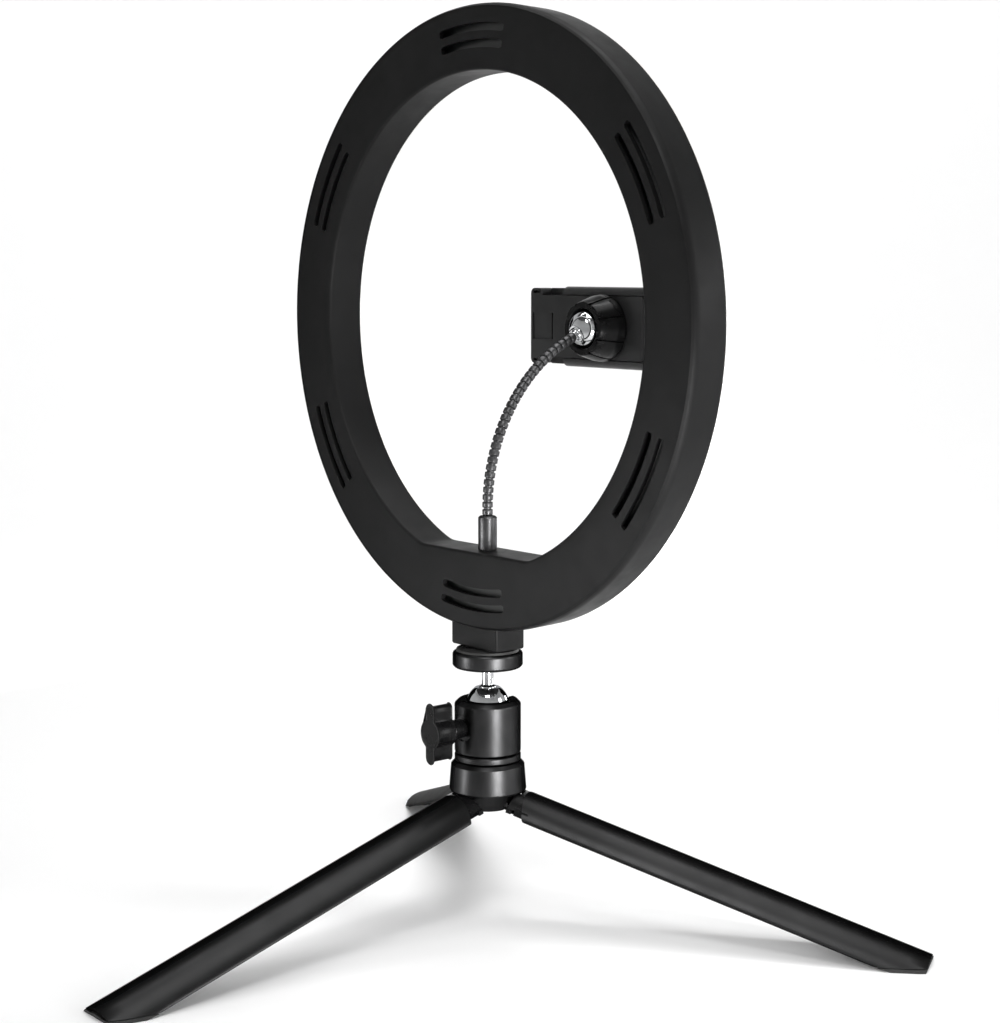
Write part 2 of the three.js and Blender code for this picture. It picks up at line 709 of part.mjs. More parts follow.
const headPlatform = () => {
  const edge = 1.2;
  const disc = turnedZ([
    [0, PLATFORM_BOTTOM],
    [PLATFORM_R - 0.5, PLATFORM_BOTTOM],
    [PLATFORM_R, PLATFORM_BOTTOM + 0.5],
    [PLATFORM_R, PLATFORM_TOP - edge],
    [PLATFORM_R - 0.35 * edge, PLATFORM_TOP - 0.35 * edge],
    [PLATFORM_R - edge, PLATFORM_TOP],
    [0, PLATFORM_TOP],
  ], 36);
  return cut(disc, barZ(STUD_R + GAP, PLATFORM_BOTTOM - 1, PLATFORM_TOP + 1, 0, 0, 20));
};

const platformPad = () => {
  const z0 = PLATFORM_TOP + GAP;
  const disc = barZ(PLATFORM_R - 1.6, z0, z0 + PAD_THICK, 0, 0, 32);
  return cut(disc, barZ(STUD_R + GAP, z0 - 1, z0 + 3, 0, 0, 16));
};

const ball = () =>
  cut(
    sphere(BALL_R, 0, 0, BALL_Z),
    box(-9, 9, -9, 9, BALL_Z + Math.sqrt(BALL_R ** 2 - BALL_FLAT_R ** 2), BALL_Z + 12),
  );

const ballCup = () => {
  const lipZ = CUP_TOP;
  const shell = turnedZ([
    [0, CUP_BOTTOM],
    [CUP_R - 0.4, CUP_BOTTOM],
    [CUP_R, CUP_BOTTOM + 0.4],
    [CUP_R, lipZ - 2.4],
    [CUP_R - 0.7, lipZ - 0.7],
    [CUP_R - 2.4, lipZ],
    [CUP_LIP_R + 0.5, lipZ],
    [0, lipZ],
  ], 36);
  const bore = barZ(CUP_BORE_R, CUP_BOTTOM + CUP_WEB, BALL_Z, 0, 0, 24);
  const seat = sphere(CUP_BORE_R, 0, 0, BALL_Z, 24);
  const opening = barZ(CUP_LIP_R, BALL_Z + 1, lipZ + 1, 0, 0, 24);
  const spigotHole = barZ(SPIGOT_R + GAP, CUP_BOTTOM - 1, CUP_BOTTOM + CUP_WEB + 1, 0, 0, 32);
  const notchSlot = box(-NOTCH_HALF, NOTCH_HALF, -CUP_R - 1, -5, BALL_Z, lipZ + 1);
  const notchEnd = barY(NOTCH_HALF, -CUP_R - 1, -5, 0, BALL_Z, 16);
  const shoeBore = barY(SHOE_R + GAP, 5, CUP_R - 1.7, 0, KNOB_Z, 20);
  const screwBore = barY(LOCK_SCREW_R + GAP, 5, CUP_R + 1, 0, KNOB_Z, 16);
  return cut(shell, bore, seat, opening, spigotHole, notchSlot, notchEnd, shoeBore, screwBore);
};

const ballSeat = () => {
  const z0 = SPIGOT_TOP + GAP + 0.4;
  return cut(barZ(5.6, z0, BALL_Z - 8.3, 0, 0, 24), sphere(BALL_R + GAP, 0, 0, BALL_Z));
};

const brakeShoe = () => {
  const shoe = barY(SHOE_R, 6.3, CUP_R - 1.7 - 0.9, 0, KNOB_Z, 20);
  return cut(shoe, sphere(BALL_R + GAP, 0, 0, BALL_Z));
};

const lockScrew = () => barY(LOCK_SCREW_R, CUP_R - 2.3, KNOB_END - 6, 0, KNOB_Z, 16);

const lockKnob = () => {
  const wingStart = KNOB_END - KNOB_WING_DEPTH;
  const wing = roundedRect(
    -KNOB_WING_THICK / 2,
    KNOB_WING_THICK / 2,
    -KNOB_WING_HALF,
    KNOB_WING_HALF,
    KNOB_WING_THICK / 2 - 0.01,
  );
  const wings = plateY(wing, wingStart, KNOB_END, 4);
  const boss = turnedY([
    [0, CUP_R + 1.1],
    [3.6, CUP_R + 1.1],
    [4.4, wingStart],
    [KNOB_BOSS_R, wingStart + 1.5],
    [KNOB_BOSS_R, KNOB_END],
    [0, KNOB_END],
  ], 24);
  const geometry = geometryOf(join(wings, boss)).translate(0, 0, KNOB_Z);
  return cut(solid(geometry), barY(LOCK_SCREW_R + GAP, CUP_R, KNOB_END - 6 + GAP, 0, KNOB_Z, 16));
};

const panBase = () => {
  const groove = CUP_BOTTOM + CUP_WEB + GAP;
  const body = turnedZ([
    [0, PAN_BOTTOM],
    [CUP_R - 0.3, PAN_BOTTOM],
    [CUP_R, PAN_BOTTOM + 0.3],
    [CUP_R, PAN_TOP - 0.3],
    [CUP_R - 0.3, PAN_TOP],
    [SPIGOT_R, PAN_TOP],
    [SPIGOT_R, groove],
    [SPIGOT_R - 1, groove],
    [SPIGOT_R - 1, groove + 1.4],
    [SPIGOT_R, groove + 1.4],
    [SPIGOT_R, SPIGOT_TOP],
    [0, SPIGOT_TOP],
  ], 28);
  return cut(body, barZ(STUD_R + GAP, PAN_BOTTOM - 1, SPIGOT_TOP - 2, 0, 0, 20));
};

const retainingClip = () => {
  const z0 = CUP_BOTTOM + CUP_WEB + GAP + 0.2;
  const shape = sector(SPIGOT_R - 0.7, CLIP_R, 90, 155);
  return plateZ(shape, z0, z0 + 1, 12);
};

const addHead = () => {
  add("ball_stem", ballStem(), CHROME);
  add("head_platform", headPlatform(), BLACK_METAL);
  add("platform_pad", platformPad(), RUBBER);
  add("ball", ball(), CHROME);
  add("ball_cup", ballCup(), BLACK_METAL);
  add("ball_seat", ballSeat(), NYLON);
  add("brake_shoe", brakeShoe(), BRASS);
  add("lock_screw", lockScrew(), STEEL);
  add("lock_knob", lockKnob(), DARK_PLASTIC);
  add("pan_base", panBase(), BLACK_METAL);
  add("retaining_clip", retainingClip(), STEEL);
};

// ---------------------------------------------------------------- tripod
const aboutZ = (shape, degrees) => solid(geometryOf(shape).rotateZ(rad(degrees)));

const tripodHub = () => {
  const body = turnedZ([
    [0, HUB_BOTTOM],
    [CONE_BOTTOM_R, HUB_BOTTOM],
    [CONE_TOP_R, HUB_RIM],
    [HUB_RIM_R - 0.3, HUB_RIM],
    [HUB_RIM_R, HUB_RIM + 0.3],
    [HUB_TOP_R, HUB_TOP - 1.3],
    [HUB_TOP_R - 0.4, HUB_TOP - 0.4],
    [HUB_TOP_R - 1.3, HUB_TOP],
    [0, HUB_TOP],
  ], 36);
  const slots = LEG_ANGLES.map((angle) =>
    aboutZ(box(HINGE_R - TONGUE_R - GAP, 20, -SLOT_HALF, SLOT_HALF, 0, HINGE_Z + TONGUE_R + GAP), angle),
  );
  const pinHoles = LEG_ANGLES.map((angle) =>
    aboutZ(barY(PIN_R + GAP, -PIN_HALF - GAP, PIN_HALF + GAP, HINGE_R, HINGE_Z, 12), angle),
  );
  const screwBore = barZ(STUD_R + GAP, 0, HUB_TOP + 1, 0, 0, 20);
  const screwRecess = barZ(5.3, 0, HUB_BOTTOM + 2.6, 0, 0, 20);
  return cut(body, ...slots, ...pinHoles, screwBore, screwRecess);
};

const hubScrew = () => {
  const headTop = HUB_BOTTOM + 2.6 - GAP;
  const head = barZ(5, headTop - 2.6, headTop, 0, 0, 20);
  const shaft = barZ(STUD_R, headTop - 0.5, SPIGOT_TOP - 2.6, 0, 0, 20);
  const hexSocket = barZ(2.3, headTop - 3, headTop - 1, 0, 0, 6);
  return cut(join(head, shaft), hexSocket);
};

const hingePin = () => barY(PIN_R, -PIN_HALF, PIN_HALF, HINGE_R, HINGE_Z, 12);

// A leg is drawn with its hinge at the origin, +X along the leg and +Z out of its convex side.
const TUBE_AXIS = -HINGE_R;
const LEG_LOW = LEG_TUBE_R * Math.cos(rad(LEG_HALF_ANGLE)) + TUBE_AXIS;
const SLOPE = rad(LEG_SLOPE);

// Height above the floor of a point of the open leg.
const heightOf = (x, z) => HINGE_Z - x * Math.sin(SLOPE) + z * Math.cos(SLOPE);
const HEEL_HEIGHT = heightOf(LEG_HEEL, LEG_LOW); // the metal of the foot end stops this far above the floor

const arcBand = (r0, r1, half) => {
  const shape = new THREE.Shape();
  shape.absarc(0, TUBE_AXIS, r1, Math.PI / 2 - rad(half), Math.PI / 2 + rad(half), false);
  shape.absarc(0, TUBE_AXIS, r0, Math.PI / 2 + rad(half), Math.PI / 2 - rad(half), true);
  shape.closePath();
  return shape;
};

const arcSegment = (r, low) => {
  const half = Math.acos((low - TUBE_AXIS) / r);
  const shape = new THREE.Shape();
  shape.absarc(0, TUBE_AXIS, r, Math.PI / 2 - half, Math.PI / 2 + half, false);
  shape.closePath();
  return shape;
};

// A slab of space below or above a height over the floor, as the open leg meets it.
const SLAB = 60;
const belowFloorHeight = (height) => {
  const slab = new THREE.BoxGeometry(400, SLAB, SLAB).translate(100, 0, height - HINGE_Z - SLAB / 2);
  return solid(slab.rotateY(-SLOPE));
};
const aboveFloorHeight = (height) => {
  const slab = new THREE.BoxGeometry(400, SLAB, SLAB).translate(100, 0, height - HINGE_Z + SLAB / 2);
  return solid(slab.rotateY(-SLOPE));
};

const legChannel = () => {
  const band = barAlongX(arcBand(LEG_TUBE_R - LEG_WALL, LEG_TUBE_R, LEG_HALF_ANGLE), LEG_ROOT, LEG_TIP, 8);
  return cut(band, belowFloorHeight(HEEL_HEIGHT));
};

const legInsert = () => {
  const inner = LEG_TUBE_R - LEG_WALL - GAP;
  const block = barAlongX(arcSegment(inner, LEG_LOW + 0.4), LEG_ROOT - 1, INSERT_END, 6);
  const tongueBar = box(0, LEG_ROOT + 3, -TONGUE_HALF, TONGUE_HALF, LEG_LOW + 0.4 - 1.6, TONGUE_R);
  const knuckle = barY(TONGUE_R, -TONGUE_HALF, TONGUE_HALF, 0, 0, 20);
  const tab = (side) => {
    const [y0, y1] = side > 0 ? [9.6, 12.6] : [-12.6, -9.6];
    return box(LEG_ROOT - 2.6, LEG_ROOT - GAP, y0, y1, LEG_LOW + 0.4, LEG_LOW + 2.4);
  };
  const hollow = box(LEG_ROOT + 4, INSERT_END + 1, -9, 9, LEG_LOW - 1, LEG_LOW + 4.4);
  const pinHole = barY(PIN_R + GAP, -8, 8, 0, 0, 12);
  return cut(join(block, tongueBar, knuckle, tab(1), tab(-1)), hollow, pinHole);
};

// The space under a foot's heel, whose sole rises to the leg's edge at a slight angle.
const underHeel = () => {
  const ramp = new THREE.BoxGeometry(SLAB, SLAB, SLAB).translate(0, 0, -SLAB / 2);
  return solid(ramp.rotateY(HEEL_RAMP - SLOPE).translate(LEG_HEEL, 0, LEG_LOW - GAP));
};

const legFoot = () => {
  const x0 = LEG_HEEL - 1;
  const x1 = LEG_TIP + 0.4;
  const plug = cut(
    barAlongX(arcSegment(LEG_TUBE_R - LEG_WALL - GAP, LEG_LOW - 6), x0, x1, 6),
    belowFloorHeight(0),
    underHeel(),
  );
  const sole = cut(
    barAlongX(arcSegment(LEG_TUBE_R - 0.2, LEG_LOW - 8), x0, x1, 6).subtract(
      aboveFloorHeight(HEEL_HEIGHT - GAP),
    ),
    belowFloorHeight(0),
    underHeel(),
  );
  return join(plug, sole);
};

// The drawn leg is tipped down to its open slope, and then turned to its place round the hub.
const addTripod = () => {
  add("tripod_hub", tripodHub(), BLACK_METAL);
  add("hub_screw", hubScrew(), STEEL);
  LEG_ANGLES.forEach((angle, i) => {
    const side = new THREE.Group();
    side.rotation.z = rad(angle);
    stand.add(side);
    add(`hinge_pin_${i + 1}`, hingePin(), STEEL, side);
    const leg = new THREE.Group();
    leg.position.set(HINGE_R, 0, HINGE_Z);
    leg.rotation.y = SLOPE;
    side.add(leg);
    add(`leg_${i + 1}`, legChannel(), LEG_METAL, leg);
    add(`leg_insert_${i + 1}`, legInsert(), DARK_PLASTIC, leg);
    add(`foot_${i + 1}`, legFoot(), RUBBER, leg);
  });
};

addRing();
addNeck();
addHolder();
addHead();
addTripod();

export default group;
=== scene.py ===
"""A 10 inch ring light on a folding desk tripod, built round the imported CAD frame.

Shapes are drawn in millimetres in the row frame and stored in metres. The lit side of the ring faces -Y.
"""

import math

import bmesh
import bpy
from mathutils import Matrix, Vector


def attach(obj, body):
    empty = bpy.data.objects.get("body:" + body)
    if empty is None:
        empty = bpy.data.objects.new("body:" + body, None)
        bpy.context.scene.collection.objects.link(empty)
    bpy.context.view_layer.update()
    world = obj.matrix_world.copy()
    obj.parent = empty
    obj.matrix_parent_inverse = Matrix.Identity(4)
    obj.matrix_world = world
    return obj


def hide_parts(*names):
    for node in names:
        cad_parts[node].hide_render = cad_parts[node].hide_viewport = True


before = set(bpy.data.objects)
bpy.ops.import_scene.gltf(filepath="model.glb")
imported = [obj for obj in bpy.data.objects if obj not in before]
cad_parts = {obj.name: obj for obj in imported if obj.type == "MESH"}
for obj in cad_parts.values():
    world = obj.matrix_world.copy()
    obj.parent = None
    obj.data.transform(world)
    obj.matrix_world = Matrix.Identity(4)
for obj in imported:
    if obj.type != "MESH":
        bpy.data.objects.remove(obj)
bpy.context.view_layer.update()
MM = 0.001

# ---------------------------------------------------------------- sizes that the CAD part uses, in mm
AXIS_Y = -43.5
RING_Z = 256.5
RING_R = 130
RING_HOLE_R = 103
RING_CHORD = 96.8
RING_HALF = 8.65
RING_TAPER = 0.6
WALL = 2.2
BLOCK_BOTTOM = RING_Z - 138.2
BALL_Z = RING_Z - 163.6
BALL_R = 9.2
BLOCK_HALF = 15.1
BLOCK_DEEP = 8
PLATFORM_R = 15.1
PLATFORM_BOTTOM = RING_Z - 147
PLATFORM_TOP = RING_Z - 140
CUP_R = 14.3
CUP_BOTTOM = RING_Z - 184
CUP_TOP = RING_Z - 161
PAN_TOP = RING_Z - 184.5
PAN_BOTTOM = RING_Z - 187.5
KNOB_Z = RING_Z - 172.2
KNOB_END = 31.5
HUB_TOP = RING_Z - 187.8
HUB_RIM = RING_Z - 201
HUB_BOTTOM = RING_Z - 208.6
HINGE_R = 10.2
HINGE_Z = RING_Z - 205.3
LEG_ANGLES = (90, 210, 330)
LEG_SLOPE = math.radians(16.65)
LEG_TUBE_R = 16.7
LEG_WALL = 1.8
LEG_HALF = math.radians(58)
LEG_ROOT = 5.4
LEG_HEEL = 168.7
LEG_TIP = 186.7
FERRULE_TOP = RING_Z - 82
NECK_BEND_R = 77
NECK_STRAIGHT = 3
NECK_TURN = math.radians(68.3)
NECK_PIECES = 6
BEADS_PER_PIECE = 5
NECK_LENGTH = NECK_STRAIGHT + NECK_BEND_R * NECK_TURN
TIP_REACH = 9.3
HOLDER_BALL_R = 8.5


# ---------------------------------------------------------------- mesh helpers
def new_object(name, verts, faces, look):
    """An object from points in mm; look is its material."""
    mesh = bpy.data.meshes.new(name)
    mesh.from_pydata([(x * MM, y * MM, z * MM) for x, y, z in verts], [], faces)
    mesh.validate()
    obj = bpy.data.objects.new(name, mesh)
    bpy.context.scene.collection.objects.link(obj)
    if look is not None:
        mesh.materials.append(look)
    outward(obj)
    return obj


def outward(obj):
    bm = bmesh.new()
    bm.from_mesh(obj.data)
    bmesh.ops.recalc_face_normals(bm, faces=bm.faces)
    bm.to_mesh(obj.data)
    bm.free()


def shade(obj, degrees=32):
    """Smooth shading, with an edge kept sharp where its faces meet at more than the angle."""
    mesh = obj.data
    bm = bmesh.new()
    bm.from_mesh(mesh)
    limit = math.radians(degrees)
    for edge in bm.edges:
        edge.smooth = len(edge.link_faces) == 2 and edge.calc_face_angle(0) < limit
    for face in bm.faces:
        face.smooth = True
    bm.to_mesh(mesh)
    bm.free()
    return obj


def apply_modifiers(obj):
    graph = bpy.context.evaluated_depsgraph_get()
    done = bpy.data.meshes.new_from_object(obj.evaluated_get(graph))
    obj.modifiers.clear()
    old = obj.data
    obj.data = done
    bpy.data.meshes.remove(old)


def boolean(obj, cutters, operation="DIFFERENCE"):
    for cutter in cutters:
        modifier = obj.modifiers.new("cut", "BOOLEAN")
        modifier.object = cutter
        modifier.operation = operation
        modifier.solver = "EXACT"
    apply_modifiers(obj)
    for cutter in cutters:
        bpy.data.objects.remove(cutter)
    return obj


def clean(obj):
    """Flat areas become single faces, so that a bevel finds only the real edges."""
    bm = bmesh.new()
    bm.from_mesh(obj.data)
    bmesh.ops.remove_doubles(bm, verts=bm.verts, dist=0.5e-6)
    bmesh.ops.dissolve_limit(bm, angle_limit=math.radians(0.6), verts=bm.verts, edges=bm.edges)
    bm.to_mesh(obj.data)
    bm.free()
    return obj


def bevel(obj, width, segments=3, degrees=40):
    modifier = obj.modifiers.new("edge", "BEVEL")
    modifier.width = width * MM
    modifier.segments = segments
    modifier.limit_method = "ANGLE"
    modifier.angle_limit = math.radians(degrees)
    modifier.harden_normals = False
    modifier.use_clamp_overlap = True
    modifier.miter_outer = "MITER_ARC"
    apply_modifiers(obj)
    shade(obj, 34)
    weighted = obj.modifiers.new("flat", "WEIGHTED_NORMAL")
    weighted.keep_sharp = True
    return obj


def rounded(points, steps=5):
    """A polyline from (a, b, radius) corners, each corner rounded by its radius."""
    out = []
    for i, (a, b, r) in enumerate(points):
        here = Vector((a, b))
        if r <= 0 or i in (0, len(points) - 1):
            out.append((a, b))
            continue
        before = (Vector(points[i - 1][:2]) - here).normalized()
        after = (Vector(points[i + 1][:2]) - here).normalized()
        half = before.angle(after) / 2
        if half > math.radians(89):
            out.append((a, b))
            continue
        back = r / math.tan(half)
        centre = here + (before + after).normalized() * (r / math.sin(half))
        start, end = here + before * back - centre, here + after * back - centre
        turn = start.angle_signed(end)
        for k in range(steps + 1):
            angle = -turn * k / steps
            c, s = math.cos(angle), math.sin(angle)
            out.append((centre.x + start.x * c - start.y * s, centre.y + start.x * s + start.y * c))
    return out


def lathe(name, points, look, axis="Z", centre=(0, 0, 0), segments=128):
    """A closed solid turned about an axis through centre, from (radius, height) points.

    The first and last points are on the axis.
    """
    rings, verts, faces = [], [], []
    cx, cy, cz = centre

    def place(r, angle, h):
        c, s = r * math.cos(angle), r * math.sin(angle)
        return (cx + c, cy + s, cz + h) if axis == "Z" else (cx + c, cy + h, cz - s)

    for r, h in points:
        if r < 1e-6:
            rings.append([len(verts)])
            verts.append(place(0, 0, h))
            continue
        ring = []
        for k in range(segments):
            angle = 2 * math.pi * k / segments
            ring.append(len(verts))
            verts.append(place(r, angle, h))
        rings.append(ring)
    for a, b in zip(rings, rings[1:]):
        faces += bridge(a, b)
    return new_object(name, verts, faces, look)


def bridge(a, b):
    """Faces between two closed rings of vertices, either of which may be one point."""
    n = max(len(a), len(b))
    out = []
    for k in range(n):
        j = (k + 1) % n
        if len(a) == 1 and len(b) > 1:
            out.append((a[0], b[j], b[k]))
        elif len(b) == 1 and len(a) > 1:
            out.append((a[k], a[j], b[0]))
        elif len(a) > 1:
            out.append((a[k], a[j], b[j], b[k]))
    return out


def loft(name, loops, look, closed=False):
    """A skin over loops of equal length; the ends are capped unless it closes on itself."""
    n = len(loops[0])
    verts = [p for loop in loops for p in loop]
    rings = [list(range(i * n, (i + 1) * n)) for i in range(len(loops))]
    faces = []
    for a, b in zip(rings, rings[1:]):
        faces += bridge(a, b)
    if closed:
        faces += bridge(rings[-1], rings[0])
    else:
        faces += [tuple(reversed(rings[0])), tuple(rings[-1])]
    return new_object(name, verts, faces, look)


def block(x, y, z):
    """A plain box from (low, high) pairs, for cutting and joining."""
    corners = [(a, b, c) for a in x for b in y for c in z]
    faces = [(0, 1, 3, 2), (4, 6, 7, 5), (0, 4, 5, 1), (2, 3, 7, 6), (0, 2, 6, 4), (1, 5, 7, 3)]
    return new_object("block", corners, faces, None)


def bar(r, h0, h1, axis="Z", centre=(0, 0, 0), segments=64):
    return lathe("bar", [(0, h0), (r, h0), (r, h1), (0, h1)], None, axis, centre, segments)


def prism(outline, h0, h1, axis="Y", centre=(0, 0, 0), name="prism", look=None):
    """An outline drawn in (x, z) for axis Y, (x, y) for axis Z or (y, z) for axis X, given depth."""
    cx, cy, cz = centre

    def place(a, b, h):
        if axis == "Y":
            return (cx + a, cy + h, cz + b)
        if axis == "Z":
            return (cx + a, cy + b, cz + h)
        return (cx + h, cy + a, cz + b)

    loops = [[place(a, b, h) for a, b in outline] for h in (h0, h1)]
    return loft(name, loops, look)


def closed_round(points, steps=4):
    """A closed outline from (a, b, radius) corners."""
    ring = [points[-1], *points, points[0]]
    return rounded([(*ring[0][:2], 0), *ring[1:-1], (*ring[-1][:2], 0)], steps)[1:-1]


def rect(x0, x1, y0, y1, r=0.0, steps=4):
    return closed_round([(x0, y0, r), (x1, y0, r), (x1, y1, r), (x0, y1, r)], steps)


def transform(obj, matrix):
    """Moves the points of an object by a matrix whose translation is in mm."""
    m = matrix.copy()
    m.translation = m.translation * MM
    obj.data.transform(m)
    return obj


def place(obj, body, slot, *nodes):
    """Ties a finished piece to its body and hides the CAD nodes it stands for. The slot argument is not used.
    """
    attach(obj, body)
    if nodes:
        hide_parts(*nodes)
    return obj


# ---------------------------------------------------------------- materials
class Look:
    """A procedural material round one Principled shader, on object coordinates in metres."""

    def __init__(self, name, color, roughness, metallic=0.0, specular=0.5):
        self.material = bpy.data.materials.new(name)
        self.material.use_nodes = True
        self.tree = self.material.node_tree
        self.nodes, self.links = self.tree.nodes, self.tree.links
        self.shader = self.nodes["Principled BSDF"]
        self.color, self.roughness = color, roughness
        self.set("Base Color", (*color, 1))
        self.set("Roughness", roughness)
        self.set("Metallic", metallic)
        self.set("Specular IOR Level", specular)
        self.coords = self.nodes.new("ShaderNodeTexCoord").outputs["Object"]
        self.height = None

    def set(self, socket, value):
        self.shader.inputs[socket].default_value = value

    def stretched(self, scale):
        mapping = self.nodes.new("ShaderNodeMapping")
        mapping.inputs["Scale"].default_value = scale
        self.links.new(self.coords, mapping.inputs["Vector"])
        return mapping.outputs["Vector"]

    def noise(self, scale, detail=3.0, stretch=None):
        node = self.nodes.new("ShaderNodeTexNoise")
        node.inputs["Scale"].default_value = scale
        node.inputs["Detail"].default_value = detail
        source = self.stretched(stretch) if stretch else self.coords
        self.links.new(source, node.inputs["Vector"])
        return node.outputs["Fac"]

    def ranged(self, value, low, high, out_low, out_high):
        node = self.nodes.new("ShaderNodeMapRange")
        self.links.new(value, node.inputs["Value"])
        for socket, number in (
            ("From Min", low),
            ("From Max", high),
            ("To Min", out_low),
            ("To Max", out_high),
        ):
            node.inputs[socket].default_value = number
        return node.outputs["Result"]

    def vary_color(self, value, other, low=0.35, high=0.65):
        mix = self.nodes.new("ShaderNodeMix")
        mix.data_type = "RGBA"
        self.links.new(self.ranged(value, low, high, 0, 1), mix.inputs["Factor"])
        colors = [s for s in mix.inputs if s.type == "RGBA"]
        if self.shader.inputs["Base Color"].is_linked:
            self.links.new(self.shader.inputs["Base Color"].links[0].from_socket, colors[0])
        else:
            colors[0].default_value = (*self.color, 1)
        colors[1].default_value = (*other, 1)
        out = next(s for s in mix.outputs if s.type == "RGBA")
        self.links.new(out, self.shader.inputs["Base Color"])

    def vary_roughness(self, value, low, high):
        self.links.new(self.ranged(value, 0.3, 0.7, low, high), self.shader.inputs["Roughness"])

    def bump(self, value, distance, strength=1.0):
        node = self.nodes.new("ShaderNodeBump")
        node.inputs["Strength"].default_value = strength
        node.inputs["Distance"].default_value = distance * MM
        self.links.new(value, node.inputs["Height"])
        if self.height is not None:
            self.links.new(self.height, node.inputs["Normal"])
        self.height = node.outputs["Normal"]
        self.links.new(self.height, self.shader.inputs["Normal"])


def moulded(name, color, roughness, grain=2600, depth=0.012, specular=0.5):
    """Moulded plastic: a fine spark-eroded texture, with faint flow marks and handling marks."""
    look = Look(name, color, roughness, specular=specular)
    fine = look.noise(grain, 2)
    broad = look.noise(38, 3)
    look.vary_color(broad, tuple(c * 1.3 for c in color))
    look.vary_roughness(look.noise(90, 5), roughness - 0.05, roughness + 0.07)
    look.bump(fine, depth)
    look.bump(look.noise(60, 2), 0.02, 0.5)
    return look.material


EDGE_TINT = (0.15, 0.15, 0.15, 1)  # what a black metal reflects at a grazing angle


def painted(name, color, roughness):
    """Black finish on cast metal: dark from the side, with soft bright reflections and slight orange peel."""
    look = Look(name, color, roughness, metallic=1.0)
    look.set("Specular Tint", EDGE_TINT)
    look.vary_color(look.noise(55, 4), tuple(c * 1.35 for c in color))
    look.vary_roughness(look.noise(160, 4), roughness - 0.04, roughness + 0.06)
    look.bump(look.noise(2400, 2), 0.002, 0.5)
    return look.material


def plated(name, color, roughness, marks=0.06):
    """Plated metal with faint polishing marks and smudges."""
    look = Look(name, color, roughness, metallic=1.0)
    look.set("Specular Tint", (0.3, 0.3, 0.31, 1))
    look.vary_roughness(look.noise(120, 5), max(roughness - 0.02, 0.01), roughness + marks)
    look.vary_color(look.noise(70, 3), tuple(c * 0.93 for c in color))
    look.bump(look.noise(1500, 2, (1, 1, 0.12)), 0.0012, 0.35)
    return look.material


RING_PLASTIC = moulded("ring_plastic", (0.0062, 0.0062, 0.0063), 0.46, 3000, 0.010, 0.13)
HOLDER_PLASTIC = moulded("holder_plastic", (0.015, 0.015, 0.0153), 0.34, 3400, 0.006, 0.25)
KNOB_PLASTIC = moulded("knob_plastic", (0.0026, 0.0026, 0.0027), 0.27, 3600, 0.004, 0.13)
HEAD_PAINT = painted("head_metal", (0.034, 0.034, 0.0345), 0.34)
CHROME = plated("chrome", (0.62, 0.63, 0.64), 0.06, 0.04)
STEEL = plated("steel", (0.55, 0.56, 0.57), 0.22, 0.10)
BRASS = plated("brass", (0.62, 0.44, 0.17), 0.25, 0.10)


def leg_look():
    """Anodised sheet: satin black, with faint differences in the finish."""
    look = Look("leg_metal", (0.024, 0.024, 0.0242), 0.36, metallic=1.0)
    look.set("Specular Tint", EDGE_TINT)
    look.vary_color(look.noise(45, 4), (0.028, 0.028, 0.0282))
    look.vary_roughness(look.noise(150, 4), 0.33, 0.39)
    look.bump(look.noise(1400, 2), 0.005, 0.6)
    look.bump(look.noise(4200, 2), 0.003, 0.5)
    return look.material


def gunmetal_look():
    look = Look("gunmetal", (0.080, 0.080, 0.082), 0.36, metallic=1.0)
    look.set("Specular Tint", (0.2, 0.2, 0.2, 1))
    look.vary_color(look.noise(220, 4), (0.105, 0.105, 0.107))
    look.vary_roughness(look.noise(600, 4), 0.34, 0.44)
    look.bump(look.noise(2600, 2), 0.003, 0.6)
    return look.material


def rubber_look():
    look = Look("rubber", (0.008, 0.008, 0.008), 0.62, specular=0.4)
    look.vary_color(look.noise(120, 4), (0.014, 0.014, 0.0135))
    look.bump(look.noise(2200, 3), 0.02, 0.8)
    return look.material


def diffuser_look():
    look = Look("diffuser_white", (0.86, 0.86, 0.85), 0.38)
    look.set("Subsurface Weight", 0.15)
    look.set("Subsurface Radius", (0.004, 0.004, 0.004))
    look.vary_color(look.noise(20, 2), (0.82, 0.82, 0.81))
    look.vary_roughness(look.noise(300, 3), 0.34, 0.44)
    look.bump(look.noise(2600, 2), 0.006, 0.6)
    return look.material


def nylon_look():
    look = Look("nylon", (0.68, 0.64, 0.54), 0.45)
    look.vary_color(look.noise(60, 3), (0.62, 0.58, 0.48))
    look.bump(look.noise(1500, 2), 0.01, 0.6)
    return look.material


def board_look():
    """White solder mask on the lit side; the faces turned to the back, into the closed housing, are painted
    near-black as painted shade, split by the normal.
    """
    look = Look("board_white", (0.70, 0.70, 0.67), 0.32)
    look.vary_color(look.noise(300, 3), (0.63, 0.62, 0.58))
    normal = look.nodes.new("ShaderNodeSeparateXYZ")
    look.links.new(look.nodes["Texture Coordinate"].outputs["Normal"], normal.inputs[0])
    # painted shade: faces that point towards +Y, into the housing, are painted near-black
    look.vary_color(normal.outputs["Y"], (0.012, 0.014, 0.013), 0.3, 0.7)
    look.bump(look.noise(1800, 2), 0.004, 0.5)
    return look.material


LEG_PAINT = leg_look()
GUNMETAL = gunmetal_look()
RUBBER = rubber_look()
DIFFUSER = diffuser_look()
NYLON = nylon_look()
BOARD = board_look()


# ---------------------------------------------------------------- ring
RING = (0, AXIS_Y, RING_Z)
RING_STEPS = 540
CORNER_BLEND = 0.35


def hole_radius(angle, offset):
    """The ring's hole grown by an offset, at an angle from +X: a circle with a flat at the bottom."""
    down = angle + math.pi / 2
    down = math.atan2(math.sin(down), math.cos(down))
    circle = RING_HOLE_R + offset
    if abs(down) > 1.0:
        return circle
    chord = (RING_CHORD + offset) / math.cos(down)
    k = CORNER_BLEND
    low = min(circle, chord)
    return low - k * math.log(math.exp((low - circle) / k) + math.exp((low - chord) / k))


